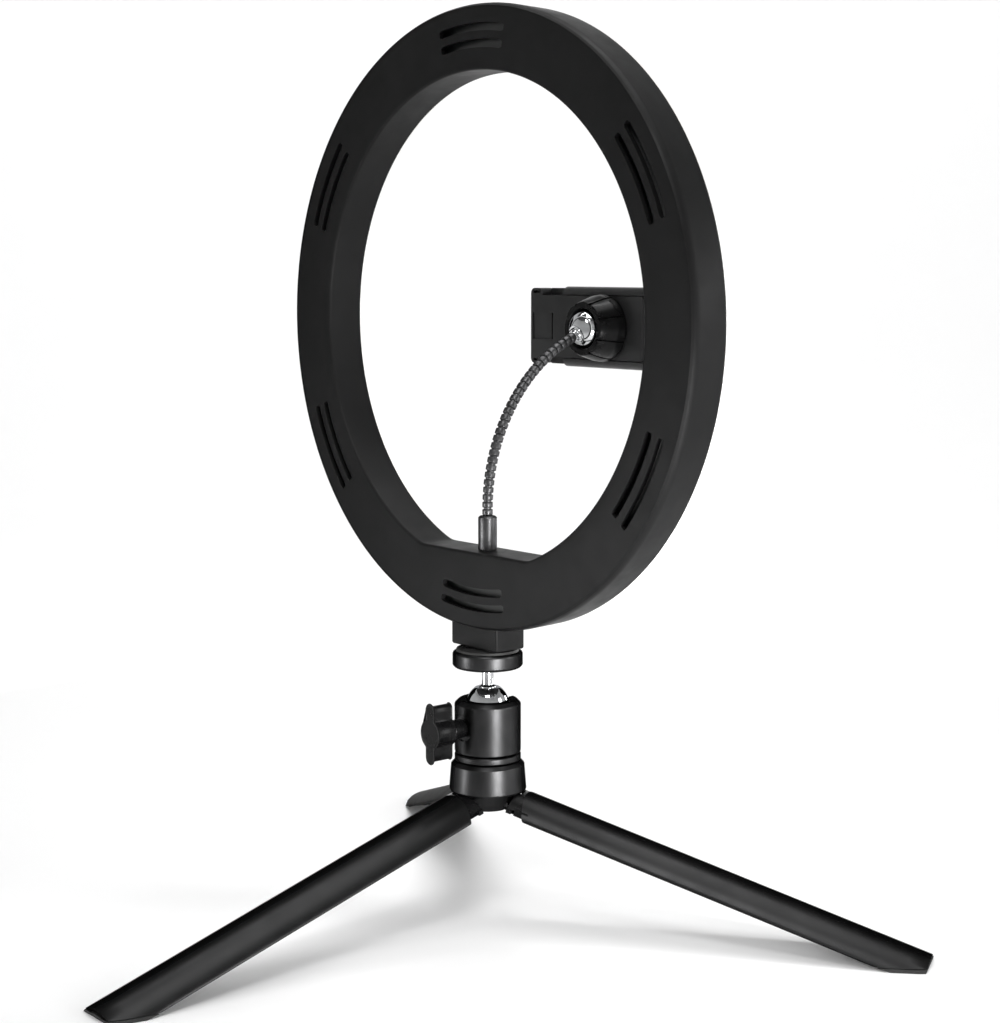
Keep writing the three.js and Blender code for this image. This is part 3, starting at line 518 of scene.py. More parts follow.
def ring_section(name, section, look, steps=RING_STEPS):
    """Sweeps a closed section round the ring. A section point is (side, offset, y).

    Side "o" is an outer radius; side "i" is an offset of the hole. Point order is round the section.
    """
    loops = []
    for side, offset, y in section:
        loop = []
        for k in range(steps):
            angle = 2 * math.pi * k / steps - math.pi / 2
            r = offset if side == "o" else hole_radius(angle, offset)
            loop.append((r * math.cos(angle), AXIS_Y + y, RING_Z + r * math.sin(angle)))
        loops.append(loop)
    return loft(name, loops, look, closed=True)


def sided(side, points):
    return [(side, a, b) for a, b in points]


def arc_slot(r0, r1, middle, half, y0, y1):
    """A cutter for one vent: part of a ring with rounded ends."""
    outline = []
    steps = 20
    end = (r1 - r0) / 2
    mid = (r0 + r1) / 2
    trim = end / mid
    a0, a1 = math.radians(middle - half) + trim, math.radians(middle + half) - trim
    corner = 0.9
    for k in range(steps + 1):
        a = a0 + (a1 - a0) * k / steps
        outline.append((r1 * math.cos(a), r1 * math.sin(a)))
    tip = a1 + trim * corner
    outline.append(((r1 - end * 0.3) * math.cos(tip), (r1 - end * 0.3) * math.sin(tip)))
    outline.append(((r0 + end * 0.3) * math.cos(tip), (r0 + end * 0.3) * math.sin(tip)))
    for k in range(steps + 1):
        a = a1 + (a0 - a1) * k / steps
        outline.append((r0 * math.cos(a), r0 * math.sin(a)))
    tip = a0 - trim * corner
    outline.append(((r0 + end * 0.3) * math.cos(tip), (r0 + end * 0.3) * math.sin(tip)))
    outline.append(((r1 - end * 0.3) * math.cos(tip), (r1 - end * 0.3) * math.sin(tip)))
    return prism(outline, y0, y1, "Y", RING)


def ring_housing():
    front, back = -RING_HALF, RING_HALF
    outer = rounded(
        [
            (RING_R - RING_TAPER, front, 0),
            (RING_R, back - 1.4, 6),
            (RING_R - 1.1, back, 1.3),
            (RING_R - 6, back, 0),
        ],
        6,
    )
    inner = rounded([(6, back, 0), (0, back, 1.3), (0, front, 0)], 6)
    lining_in = rounded([(WALL, front, 0), (WALL, back - WALL, 1), (6, back - WALL, 0)], 3)
    lining_out = rounded(
        [
            (RING_R - 6, back - WALL, 0),
            (RING_R - RING_TAPER - WALL, back - WALL, 1),
            (RING_R - RING_TAPER - WALL, front, 0),
        ],
        3,
    )
    section = sided("o", outer) + sided("i", inner) + sided("i", lining_in) + sided("o", lining_out)
    shell = ring_section("ring_shell", section, RING_PLASTIC)
    boolean(shell, [mount_block()], "UNION")
    bosses = []
    for angle in (60, 180, 300):
        a = math.radians(angle)
        spot = (109.8 * math.cos(a), AXIS_Y, RING_Z + 109.8 * math.sin(a))
        bosses.append(bar(2.6, 4.4, back - 1, "Y", spot, 24))
    boolean(shell, bosses, "UNION")
    cutters = []
    for i in range(6):
        for r0, r1 in ((112, 115.4), (118.7, 122)):
            cutters.append(arc_slot(r0, r1, 30 + 60 * i, 10, back - WALL - 1, back + 1))
    cutters.append(bar(4.9, BLOCK_BOTTOM - 1, BLOCK_BOTTOM + 8.3, "Z", (0, AXIS_Y, 0), 48))
    flat = RING_Z - RING_CHORD
    cutters.append(bar(3.3, flat - WALL - 1, flat + 1, "Z", (0, AXIS_Y, 0), 32))
    cutters.append(gland_bar(2.9, -8, 4))
    boolean(shell, cutters)
    return place(shade(shell, 30), "light", "ring_plastic", "ring_housing")


def mount_block():
    """The block under the ring, with rounded upright edges and a rounded lower rim."""
    loops = []
    top = RING_Z - RING_R + 4
    rim = ((0.9, 0), (0.45, 0.12), (0.12, 0.45), (0, 0.9), (0, top - BLOCK_BOTTOM))
    for inset, rise in rim:
        half, deep = BLOCK_HALF - inset, BLOCK_DEEP - inset
        outline = rect(-half, half, -deep, deep, 1.2, 5)
        loops.append([(x, AXIS_Y + y, BLOCK_BOTTOM + rise) for x, y in outline])
    return loft("block", loops, None)


GLAND_ANGLE = math.radians(-77)


def at_gland(obj):
    """Moves an object drawn along +Z to the ring's rim, where it points outwards."""
    spot = (RING_R * math.cos(GLAND_ANGLE), AXIS_Y - 1.9, RING_Z + RING_R * math.sin(GLAND_ANGLE))
    turn = Matrix.Rotation(math.pi / 2 - GLAND_ANGLE, 4, "Y")
    return transform(obj, Matrix.Translation(spot) @ turn)


def gland_bar(r, d0, d1, segments=32):
    """A round bar along the ring's radius at the cable outlet."""
    return at_gland(bar(r, d0, d1, "Z", (0, 0, 0), segments))


def cable_outlet():
    """A soft ribbed outlet with a rounded mouth."""
    points = rounded(
        [
            (0, -4.6, 0),
            (3.5, -4.6, 0.3),
            (3.5, -3.1, 0.3),
            (2.6, -3.1, 0),
            (2.6, 0.9, 0.7),
            (1.6, 0.9, 0.5),
            (1.6, -4.2, 0),
            (0, -4.2, 0),
        ],
        4,
    )
    obj = at_gland(lathe("cable_outlet", points, RUBBER, "Z", (0, 0, 0), 48))
    return place(shade(obj), "light", "rubber", "cable_gland")


def diffuser_cover():
    back = -RING_HALF - 0.3
    front = back - 1.7
    rim = RING_R - RING_TAPER
    outer = rounded([(125, back, 0), (rim, back, 0.15), (rim, front, 0.9), (124, front, 0)], 6)
    inner = rounded([(6, front, 0), (0.5, front, 0.9), (0.5, back, 0.15), (3.9, back, 0)], 6)
    skirt_in = [(2.5, back), (2.5, back + 3), (3.9, back + 3), (3.9, back)]
    r = rim - WALL - 0.3
    skirt_out = [(r - 1.4, back), (r - 1.4, back + 3), (r, back + 3), (r, back)]
    section = sided("o", outer[1:]) + sided("i", inner[:-1]) + sided("i", skirt_in) + sided("o", skirt_out)
    cover = ring_section("diffuser_cover", section, DIFFUSER)
    return place(shade(cover, 40), "light", "diffuser_white", "diffuser")


# ---------------------------------------------------------------- neck
def neck_point(s):
    if s <= NECK_STRAIGHT:
        return Vector((0, AXIS_Y, FERRULE_TOP + s))
    t = (s - NECK_STRAIGHT) / NECK_BEND_R
    forward = NECK_BEND_R * (1 - math.cos(t))
    return Vector((0, AXIS_Y - forward, FERRULE_TOP + NECK_STRAIGHT + NECK_BEND_R * math.sin(t)))


def neck_turn(s):
    return max(0.0, s - NECK_STRAIGHT) / NECK_BEND_R


def neck_ring(s, r, segments=40):
    """Points round the neck's centre line, r from it."""
    turn = neck_turn(s)
    centre = neck_point(s)
    side = Vector((0, math.cos(turn), math.sin(turn)))
    across = Vector((1, 0, 0))
    out = []
    for k in range(segments):
        a = 2 * math.pi * k / segments
        out.append(tuple(centre + across * (r * math.cos(a)) + side * (r * math.sin(a))))
    return out


BEAD_R = 2.25
GROOVE_R = 1.6
BEAD_EDGE = ((0.0, 0), (0.10, 0), (0.13, 0.55), (0.16, 0.85), (0.22, 1), (0.5, 1.06))


def bead_radius(t):
    """The neck's outside over one bead, t from 0 to 1: a groove, a rounded shoulder, a slight crown."""
    t = min(t, 1 - t)
    for (t0, v0), (t1, v1) in zip(BEAD_EDGE, BEAD_EDGE[1:]):
        if t <= t1:
            share = (t - t0) / (t1 - t0)
            return GROOVE_R + (BEAD_R - GROOVE_R) * min(1.0, v0 + (v1 - v0) * share)
    return BEAD_R


def neck_piece(i):
    pitch = NECK_LENGTH / NECK_PIECES
    bead = pitch / BEADS_PER_PIECE
    start = i * pitch
    marks = sorted({t for t, _ in BEAD_EDGE} | {1 - t for t, _ in BEAD_EDGE} | {0.36, 0.64})
    # The lower end is a rounded stub that stays inside the piece below when the joint bends.
    loops = []
    for k, r in enumerate((0.5, 1.1, 1.45, GROOVE_R - 0.02)):
        loops.append(neck_ring(start + (-0.9, -0.75, -0.45, 0.0)[k], r))
    for j in range(BEADS_PER_PIECE):
        for t in marks[1:]:
            loops.append(neck_ring(start + (j + t) * bead, bead_radius(t)))
    obj = loft(f"neck_beads_{i + 1}", loops, GUNMETAL)
    return place(shade(obj, 50), f"neck_{i + 1}", "gunmetal", f"gooseneck_{i + 1}")


def ferrule():
    low = RING_Z - RING_CHORD + 0.3
    points = rounded(
        [
            (0, low - 6, 0),
            (3, low - 6, 0.3),
            (3, low, 0),
            (4, low, 0.2),
            (4, FERRULE_TOP - 0.7, 0.25),
            (3.3, FERRULE_TOP, 0.2),
            (2.65, FERRULE_TOP, 0),
            (2.65, FERRULE_TOP - 1.6, 0),
            (0, FERRULE_TOP - 1.6, 0),
        ],
        4,
    )
    obj = lathe("neck_ferrule", points, GUNMETAL, "Z", (0, AXIS_Y, 0), 96)
    return place(shade(obj), "light", "gunmetal", "gooseneck_ferrule")


NECK_TIP = neck_point(NECK_LENGTH)
TIP_MATRIX = Matrix.Translation(NECK_TIP) @ Matrix.Rotation(NECK_TURN, 4, "X")
HOLDER = TIP_MATRIX @ Vector((0, 0, TIP_REACH))


def ball_profile(r, flat_r, dish, low=-1.0, steps=40):
    """A ball from its far pole to a dished flat, as (radius, height) with the ball's centre at 0."""
    flat = math.acos(flat_r / r)
    points = []
    for k in range(steps + 1):
        a = -math.pi / 2 + (flat + math.pi / 2) * k / steps
        points.append((max(0.0, r * math.cos(a)), r * math.sin(a)))
    points[0] = (0, -r)
    z = r * math.sin(flat)
    points += [(flat_r - 0.25, z + 0.06), (flat_r - 0.7, z - 0.1), (flat_r * 0.55, z - dish), (0, z - dish)]
    return points


def holder_ball():
    """The neck's chrome end: a short stem that flares into the ball's dished flat."""
    stem = [(0, 0.12), (1.85, 0.12), (2.05, 0.3), (2.0, 1.0), (2.0, 1.6), (2.35, 2.2)]
    stem += [(3.0, 2.62), (3.6, 2.62), (4.1, 2.38), (4.5, TIP_REACH - 7.21)]
    start = math.asin(4.5 / HOLDER_BALL_R)
    for k in range(1, 49):
        a = start + (math.pi - start) * k / 48
        stem.append((HOLDER_BALL_R * math.sin(a), TIP_REACH - HOLDER_BALL_R * math.cos(a)))
    stem[-1] = (0, TIP_REACH + HOLDER_BALL_R)
    obj = lathe("holder_ball_chrome", stem, CHROME, "Z", (0, 0, 0), 128)
    transform(obj, TIP_MATRIX)
    return place(shade(obj, 40), "neck_6", "chrome", "holder_ball")


# ---------------------------------------------------------------- phone holder
COLLAR_NEAR = 3.5
COLLAR_FAR = COLLAR_NEAR - 13.3
PLATE_BACK = COLLAR_FAR - 0.3
PLATE_FRONT = PLATE_BACK - 6.8
ARM_END = PLATE_BACK - 20.4
HOLDER_AT = tuple(HOLDER)


def collar_lobe(angle, r, h):
    """Eight crowned lobes with a narrow groove between each two, fading out at the open face."""
    if r < 11.2:
        return r
    u = (angle / (2 * math.pi) * 8 + 0.5) % 1.0
    side = abs(u - 0.5) * 2
    crown = 0.35 * (1 - side * side)
    groove = 0.85 if side > 0.93 else 0.0
    return r - 0.35 + crown - groove


def collar():
    near, far = COLLAR_NEAR, COLLAR_FAR
    points = rounded(
        [
            (10.7, far, 0),
            (14.6, far, 0.4),
            (14.85, far + 1.6, 0.5),
            (14.45, far + 5.0, 2),
            (12.7, near - 2.6, 2),
            (11.75, near, 0.7),
            (9.3, near, 0.5),
            (8.75, near - 0.6, 0.3),
            (8.85, near - 3.6, 0),
            (10.7, near - 4.0, 0),
            (10.7, far, 0),
        ],
        4,
    )
    ox, oy, oz = HOLDER_AT
    segments = 320
    loops = []
    for r, h in points[:-1]:
        loop = []
        for k in range(segments):
            angle = 2 * math.pi * k / segments
            rr = collar_lobe(angle, r, h)
            loop.append((ox + rr * math.cos(angle), oy + h, oz + rr * math.sin(angle)))
        loops.append(loop)
    obj = loft("collar_knob", loops, KNOB_PLASTIC, closed=True)
    notches = []
    for i in range(8):
        angle = 2 * math.pi * (i + 0.5) / 8
        notch = block((-0.75, 0.75), (near - 1.3, near + 1), (10.9, 13))
        turn = Matrix.Rotation(angle + math.pi / 2, 4, "Y")
        notches.append(transform(notch, Matrix.Translation(HOLDER) @ turn))
    boolean(obj, notches)
    return place(shade(obj, 30), "collar", "knob_plastic", "collar_nut")


def holder_box(x0, x1, y0, y1, z0, z1):
    """A box in the holder's own frame, whose origin is the ball's centre."""
    ox, oy, oz = HOLDER_AT
    return block((ox + x0, ox + x1), (oy + y0, oy + y1), (oz + z0, oz + z1))


def holder_shell():
    web_end, end = -23.5, 50
    outline = rect(web_end, end, -14, 14, 1.0)
    body = prism(outline, PLATE_FRONT, PLATE_BACK, "Y", HOLDER_AT, "holder_shell", HOLDER_PLASTIC)
    parts = [
        prism(rect(web_end, end - 8, -17.2, 17.2, 0.8), PLATE_FRONT, PLATE_FRONT + 1.5, "Y", HOLDER_AT),
        prism(rect(end - 8, end, -17.2, 17.2, 2.5, 6), PLATE_FRONT, PLATE_BACK, "Y", HOLDER_AT),
        prism(rect(37.2, end - 6, -15, 15, 1.2), ARM_END, PLATE_FRONT + 1, "Y", HOLDER_AT),
        prism(rect(33, end - 6.01, -15.02, 15.02, 1.2), ARM_END, ARM_END + 2.8, "Y", HOLDER_AT),
    ]
    boolean(body, parts, "UNION")
    cutters = [
        holder_box(36, end - 1.2, PLATE_BACK - 0.7, PLATE_BACK + 1, -6, 6),
        holder_box(34.8, 36.4, PLATE_BACK - 2.4, PLATE_BACK + 1, -6, 6),
        holder_box(web_end - 1, 30, PLATE_FRONT + 2.4, PLATE_FRONT + 5, -1.6, 1.6),
        holder_box(43.6, 48.4, PLATE_BACK - 1.8, PLATE_BACK + 1, 14.9, 16.1),
        holder_box(43.6, 48.4, PLATE_BACK - 1.8, PLATE_BACK + 1, -16.1, -14.9),
        bar(9.4, PLATE_BACK, PLATE_BACK + 4, "Y", HOLDER_AT, 64),
    ]
    for side in (1, -1):
        z0, z1 = sorted((side * 12, side * 15))
        cutters.append(holder_box(web_end - 1, end - 8, PLATE_BACK - 3.6, PLATE_BACK - 1.8, z0, z1))
    boolean(body, cutters)
    bevel(clean(body), 0.45, 3, 50)
    base = PLATE_BACK - 0.6
    sleeve = [(9.4, base), (10.4, base), (10.4, -2.1), (10.0, -1.7), (9.4, -1.7), (9.4, base)]
    collet = lathe("holder_collet", sleeve, HOLDER_PLASTIC, "Y", HOLDER_AT, 96)
    place(shade(collet), "holder", "holder_plastic")
    return place(body, "holder", "holder_plastic", "holder_body")


def jaw_shell():
    back, front = PLATE_BACK - 0.2, PLATE_FRONT + 1.8
    tongue_front, tongue_back = PLATE_BACK - 3.3, PLATE_BACK - 2.1
    plate = prism(rect(-42, -37.2, -18, 18, 2.2, 6), front, back, "Y", HOLDER_AT, "jaw_shell", HOLDER_PLASTIC)
    parts = [
        prism(rect(-42, -37.2, -15, 15, 1.2), ARM_END, front + 1, "Y", HOLDER_AT),
        prism(rect(-42.0, -33, -15.02, 15.02, 1.2), ARM_END, ARM_END + 2.8, "Y", HOLDER_AT),
    ]
    for side in (1, -1):
        outline = closed_round(
            [
                (front, side * 14.3, 0),
                (front, side * 18, 0.3),
                (back, side * 18, 3.3),
                (back, side * 14.3, 0.3),
            ][::side],
            8,
        )
        parts.append(prism(outline, -38.5, 28, "X", HOLDER_AT))
        z0, z1 = sorted((side * 12.6, side * 14.8))
        parts.append(holder_box(-38.5, 28, tongue_front, tongue_back, z0, z1))
    boolean(plate, parts, "UNION")
    bevel(clean(plate), 0.4, 3, 50)
    return place(plate, "jaw", "holder_plastic", "moving_jaw")


def jaw_pads():
    """Ribbed rubber faces of the two jaws."""
    for side, body, node in ((1, "holder", "fixed_jaw_pad"), (-1, "jaw", "moving_jaw_pad")):
        outline = []
        z = -13.0
        face, back = side * 35.5, side * 36.9
        outline.append((back, -13.0))
        ribs = 13
        for i in range(ribs):
            z0 = -13.0 + 26.0 * i / ribs
            z1 = -13.0 + 26.0 * (i + 1) / ribs
            valley = face + side * 0.45
            outline += [(valley, z0 + 0.1), (face, z0 + 0.5), (face, z1 - 0.5), (valley, z1 - 0.1)]
        outline.append((back, 13.0))
        pad = prism(outline, ARM_END + 3.1, PLATE_FRONT - 0.6, "Y", HOLDER_AT, f"{node}_ribs", RUBBER)
        place(shade(pad, 30), body, "rubber", node)


def spring():
    """The coil that draws the jaws together, as a round wire."""
    turns, r, wire = 17, 1.0, 0.22
    x0, x1 = -22.5, 27.5
    steps = turns * 16
    loops = []
    for k in range(steps + 1):
        t = k / steps
        a = 2 * math.pi * turns * t
        centre = Vector((x0 + (x1 - x0) * t, PLATE_FRONT + 3.7 + r * math.cos(a), r * math.sin(a)))
        outwards = Vector((0, math.cos(a), math.sin(a)))
        along = Vector((1, 0, 0))
        loop = []
        for j in range(8):
            b = 2 * math.pi * j / 8
            p = HOLDER + centre + outwards * (wire * math.cos(b)) + along * (wire * math.sin(b))
            loop.append(tuple(p))
        loops.append(loop)
    obj = loft("jaw_coil", loops, STEEL)
    return place(shade(obj, 60), "holder", "steel", "jaw_spring")


# ---------------------------------------------------------------- ball head
ON_AXIS = (0, AXIS_Y, 0)


def head_ball():
    points = [(r, BALL_Z + z) for r, z in ball_profile(BALL_R, 5.2, 0.35)]
    obj = lathe("ball_chrome", points, CHROME, "Z", ON_AXIS, 160)
    return place(shade(obj, 40), "ball", "chrome", "ball")


def head_stem():
    flat = BALL_Z + math.sqrt(BALL_R**2 - 5.2**2)
    points = rounded(
        [
            (0, flat - 0.25, 0),
            (3.7, flat - 0.25, 0.2),
            (3.5, flat + 0.5, 0.5),
            (2.5, flat + 1.1, 0.8),
            (2.5, PLATFORM_BOTTOM - 0.7, 0.3),
            (3.0, PLATFORM_BOTTOM - 0.1, 0.1),
            (3.1, PLATFORM_BOTTOM + 1, 0),
            (3.1, BLOCK_BOTTOM + 5.4, 0),
            (2.5, BLOCK_BOTTOM + 6, 0),
            (0, BLOCK_BOTTOM + 6, 0),
        ],
        5,
    )
    obj = lathe("stem_chrome", points, CHROME, "Z", ON_AXIS, 96)
    return place(shade(obj, 40), "light", "chrome", "ball_stem")


def platform():
    low, top, r = PLATFORM_BOTTOM, PLATFORM_TOP, PLATFORM_R
    points = rounded(
        [
            (3.4, low, 0),
            (9.0, low, 0.3),
            (r - 0.9, low + 0.0, 0.7),
            (r, low + 1.0, 0.8),
            (r, top, 1.5),
            (r - 2.2, top, 0.4),
            (r - 2.6, top - 0.4, 0.2),
            (3.4, top - 0.4, 0),
            (3.4, low, 0),
        ],
        6,
    )
    return closed_lathe("platform_disc", points[:-1], HEAD_PAINT, "light", "head_metal", "head_platform")


def turned_ring(name, points, look, segments):
    """A ring about the head's axis whose section is a closed loop of (radius, height)."""
    loops = []
    for r, h in points:
        loop = []
        for k in range(segments):
            a = 2 * math.pi * k / segments
            loop.append((r * math.cos(a), AXIS_Y + r * math.sin(a), h))
        loops.append(loop)
    return loft(name, loops, look, closed=True)


def closed_lathe(name, points, look, body, slot, *nodes):
    return place(shade(turned_ring(name, points, look, 160)), body, slot, *nodes)


def platform_pad():
    """The rubber disc under the ring's block, with concentric ridges."""
    base, top = PLATFORM_TOP - 0.35, PLATFORM_TOP + 1.15
    points = [(3.4, base), (3.4, top)]
    r = 4.0
    while r < 12.6:
        points += [(r, top), (r + 0.2, top - 0.3), (r + 0.6, top - 0.3), (r + 0.8, top)]
        r += 1.5
    points += [(13.0, top), (13.4, top - 0.15), (13.5, top - 0.5), (13.5, base)]
    return closed_lathe("platform_ridges", points, RUBBER, "light", "rubber", "platform_pad")


def cup():
    low, top, r = CUP_BOTTOM, CUP_TOP, CUP_R
    outer = rounded(
        [
            (7.3, low, 0),
            (r - 0.5, low, 0.3),
            (r, low + 0.5, 0.4),
            (r, top - 1.9, 1.2),
            (r - 1.9, top, 1.9),
            (9.6, top, 0.3),
            (9.3, BALL_Z + 2.1, 0),
        ],
        7,
    )
    inner = []
    for k in range(12):
        a = math.radians(11 - 59 * k / 11)
        inner.append((9.5 * math.cos(a), BALL_Z + 9.5 * math.sin(a)))
    inner += [(6.0, low + 3.5), (7.3, low + 3.5)]
    obj = turned_ring("cup_body", outer + inner, HEAD_PAINT, 192)
    boolean(obj, [notch_cutter()])
    screw = (0, AXIS_Y, KNOB_Z)
    bore = bar(3.5, 5, CUP_R - 1.7, "Y", screw, 48)
    mouth = bar(3.2, CUP_R - 2.4, CUP_R + 2, "Y", screw, 48)
    spot_face = bar(5.6, CUP_R - 0.9, CUP_R + 2, "Y", screw, 64)
    boolean(obj, [bore, mouth, spot_face])
    bevel(obj, 0.28, 3, 48)
    return place(obj, "head", "head_metal", "ball_cup")


def notch_cutter():
    """The U-shaped notch that lets the stem lie down level."""
    outline = [(3.3, BALL_Z + 8), (3.3, BALL_Z)]
    for k in range(1, 16):
        a = -math.pi * k / 16
        outline.append((3.3 * math.cos(a), BALL_Z + 3.3 * math.sin(a)))
    outline += [(-3.3, BALL_Z), (-3.3, BALL_Z + 8)]
    return prism(outline, -CUP_R - 3, -5, "Y", ON_AXIS)


KNOB_STEPS = 144


def knob_outline(shrink, steps=KNOB_STEPS):
    """The knob seen along its axis: a round boss blended into two rounded wings."""
    points = []
    half, length, boss = 1.85, 12, 5.3
    for k in range(steps):
        a = 2 * math.pi * k / steps
        s, c = abs(math.sin(a)), abs(math.cos(a))
        tip = length - half
        if s * tip <= half * c:
            wing = tip * c + math.sqrt(max(0.0, half**2 - (tip * s) ** 2))
        else:
            wing = half / max(s, 1e-6)
        soft = 0.5
        r = soft * math.log(math.exp(min(wing, 40) / soft) + math.exp(boss / soft))
        r = min(r, length)
        points.append((r * math.sin(a), r * math.cos(a)))
    out = []
    for k, (x, z) in enumerate(points):
        ax, az = points[k - 1]
        bx, bz = points[(k + 1) % steps]
        dx, dz = bx - ax, bz - az
        size = math.hypot(dx, dz) or 1
        out.append((x - shrink * dz / size, z + shrink * dx / size))
    return out


def knob():
    start = KNOB_END - 10.3

    def circle(r, y):
        angles = [2 * math.pi * k / KNOB_STEPS for k in range(KNOB_STEPS)]
        return [(r * math.sin(a), AXIS_Y + y, KNOB_Z + r * math.cos(a)) for a in angles]

    def shape(shrink, y):
        return [(x, AXIS_Y + y, KNOB_Z + z) for x, z in knob_outline(shrink)]

    loops = [circle(2.6, CUP_R - 1.1), circle(2.6, CUP_R - 0.3)]
    loops += [circle(3.7, CUP_R - 0.2), circle(3.9, CUP_R + 0.1)]
    loops += [circle(4.5, start - 1.5), circle(4.75, start)]
    loops += [shape(0.45, start), shape(0.15, start + 0.12), shape(0.0, start + 0.5)]
    loops += [shape(0.0, KNOB_END - 0.5), shape(0.13, KNOB_END - 0.14), shape(0.42, KNOB_END)]
    loops += [shape(1.1, KNOB_END), shape(1.25, KNOB_END - 0.18)]
    obj = loft("knob_winged", loops, KNOB_PLASTIC)
    return place(shade(obj, 34), "knob", "knob_plastic", "lock_knob")


def pan_ring():
    low, top, r = PAN_BOTTOM, PAN_TOP, CUP_R
    points = rounded(
        [
            (3.4, low, 0),
            (r - 0.4, low, 0.3),
            (r, low + 0.5, 0.35),
            (r, top - 0.5, 0.35),
            (r - 0.5, top, 0.3),
            (7.0, top, 0),
            (7.0, PAN_TOP + 7, 0.3),
            (3.4, PAN_TOP + 7, 0),
            (3.4, low, 0),
        ],
        5,
    )
    return closed_lathe("pan_ring", points[:-1], HEAD_PAINT, "tripod", "head_metal", "pan_base")


# ---------------------------------------------------------------- tripod
def turn_about_axis(obj, degrees):
    return transform(obj, Matrix.Translation((0, AXIS_Y, 0)) @ Matrix.Rotation(math.radians(degrees), 4, "Z"))


def hub():
    points = rounded(
        [
            (3.4, HUB_BOTTOM, 0),
            (9.6, HUB_BOTTOM, 0.3),
            (15.0, HUB_RIM, 0.4),
            (16.3, HUB_RIM, 0.3),
            (16.7, HUB_RIM + 0.9, 0.6),
            (15.85, HUB_TOP - 1.6, 0.6),
            (14.3, HUB_TOP, 1.5),
            (3.4, HUB_TOP, 0),
            (3.4, HUB_BOTTOM, 0),
        ],
        6,
    )
    obj = turned_ring("hub_body", points[:-1], HEAD_PAINT, 180)
    slots, pins = [], []
    for a in LEG_ANGLES:
        slot = block((HINGE_R - 3.7, 22), (-4, 4), (HUB_BOTTOM - 2, HINGE_Z + 3.7))
        slots.append(turn_about_axis(slot, a))
    for a in LEG_ANGLES:
        pins.append(turn_about_axis(bar(1.55, -6.3, 6.3, "Y", (HINGE_R, 0, HINGE_Z), 32), a))
    recess = bar(5.3, HUB_BOTTOM - 1, HUB_BOTTOM + 2.6, "Z", ON_AXIS, 64)
    boolean(obj, [*slots, *pins, recess])
    bevel(obj, 0.22, 2, 50)
    return place(obj, "tripod", "head_metal", "tripod_hub")


def leg_matrix(degrees):
    """From a leg's own frame, hinge at 0 and +X along it, to its open place."""
    return (
        Matrix.Translation((0, AXIS_Y, 0))
        @ Matrix.Rotation(math.radians(degrees), 4, "Z")
        @ Matrix.Translation((HINGE_R, 0, HINGE_Z))
        @ Matrix.Rotation(LEG_SLOPE, 4, "Y")
    )


LEG_LOW = LEG_TUBE_R * math.cos(LEG_HALF) - HINGE_R


def leg_section(inset, steps=40):
    """The curved sheet across a leg, its long edges rounded: points (y, z)."""
    outer, inner = LEG_TUBE_R - inset, LEG_TUBE_R - LEG_WALL + inset
    round_off = 0.55
    out = []
    half = LEG_HALF - (round_off + inset) / outer
    for k in range(steps + 1):
        a = -half + 2 * half * k / steps
        out.append((outer * math.sin(a), outer * math.cos(a)))
    a = LEG_HALF - inset / outer
    out += [((outer - 0.16) * math.sin(a - 0.16 / outer), (outer - 0.16) * math.cos(a - 0.16 / outer))]
    out += [((outer - round_off) * math.sin(a), (outer - round_off) * math.cos(a))]
    out += [((inner + 0.3) * math.sin(a), (inner + 0.3) * math.cos(a))]
    for k in range(steps + 1):
        b = (LEG_HALF - (0.3 + inset) / inner) * (1 - 2 * k / steps)
        out.append((inner * math.sin(b), inner * math.cos(b)))
    out += [((inner + 0.3) * math.sin(-a), (inner + 0.3) * math.cos(-a))]
    out += [((outer - round_off) * math.sin(-a), (outer - round_off) * math.cos(-a))]
    out += [((outer - 0.16) * math.sin(-a + 0.16 / outer), (outer - 0.16) * math.cos(-a + 0.16 / outer))]
    return [(y, z - HINGE_R) for y, z in out]


def floor_cut(height):
    """The space of an open leg that is below a height over the floor, in the leg's frame."""
    slab = block((-60, 400), (-40, 40), (-80 + height - HINGE_Z, height - HINGE_Z))
    return transform(slab, Matrix.Rotation(-LEG_SLOPE, 4, "Y"))


HEEL_HEIGHT = HINGE_Z - LEG_HEEL * math.sin(LEG_SLOPE) + LEG_LOW * math.cos(LEG_SLOPE)


ROOT_RAKE = math.radians(-30)
SHEET_START = LEG_ROOT + 1.2
CAP_SPAN = (2.9, 17)
CAP_LOW = LEG_LOW + 2.4
CROWN = LEG_TUBE_R - HINGE_R


def before_root(x, side=-1):
    """The space before (or, with side 1, beyond) the raked plane through a leg's crown at x."""
    low, high = (-40, 0) if side < 0 else (0, 60)
    slab = block((low, high), (-40, 40), (-60, 60))
    return transform(slab, Matrix.Translation((x, 0, CROWN)) @ Matrix.Rotation(ROOT_RAKE, 4, "Y"))


def leg(i, degrees):
    loops = []
    stations = [(LEG_ROOT, 0.25), (LEG_ROOT + 0.08, 0.08), (LEG_ROOT + 0.3, 0.0)]
    stations += [(LEG_ROOT + 0.3 + (LEG_TIP - LEG_ROOT - 0.6) * k / 24, 0.0) for k in range(1, 25)]
    stations += [(LEG_TIP - 0.08, 0.08), (LEG_TIP, 0.25)]
    for x, inset in stations:
        loops.append([(x, y, z) for y, z in leg_section(inset)])
    obj = loft(f"leg_sheet_{i}", loops, LEG_PAINT)
    boolean(obj, [floor_cut(HEEL_HEIGHT), before_root(SHEET_START)])
    transform(obj, leg_matrix(degrees))
    return place(shade(obj, 34), f"leg_{i}", "leg_metal", f"leg_{i}")


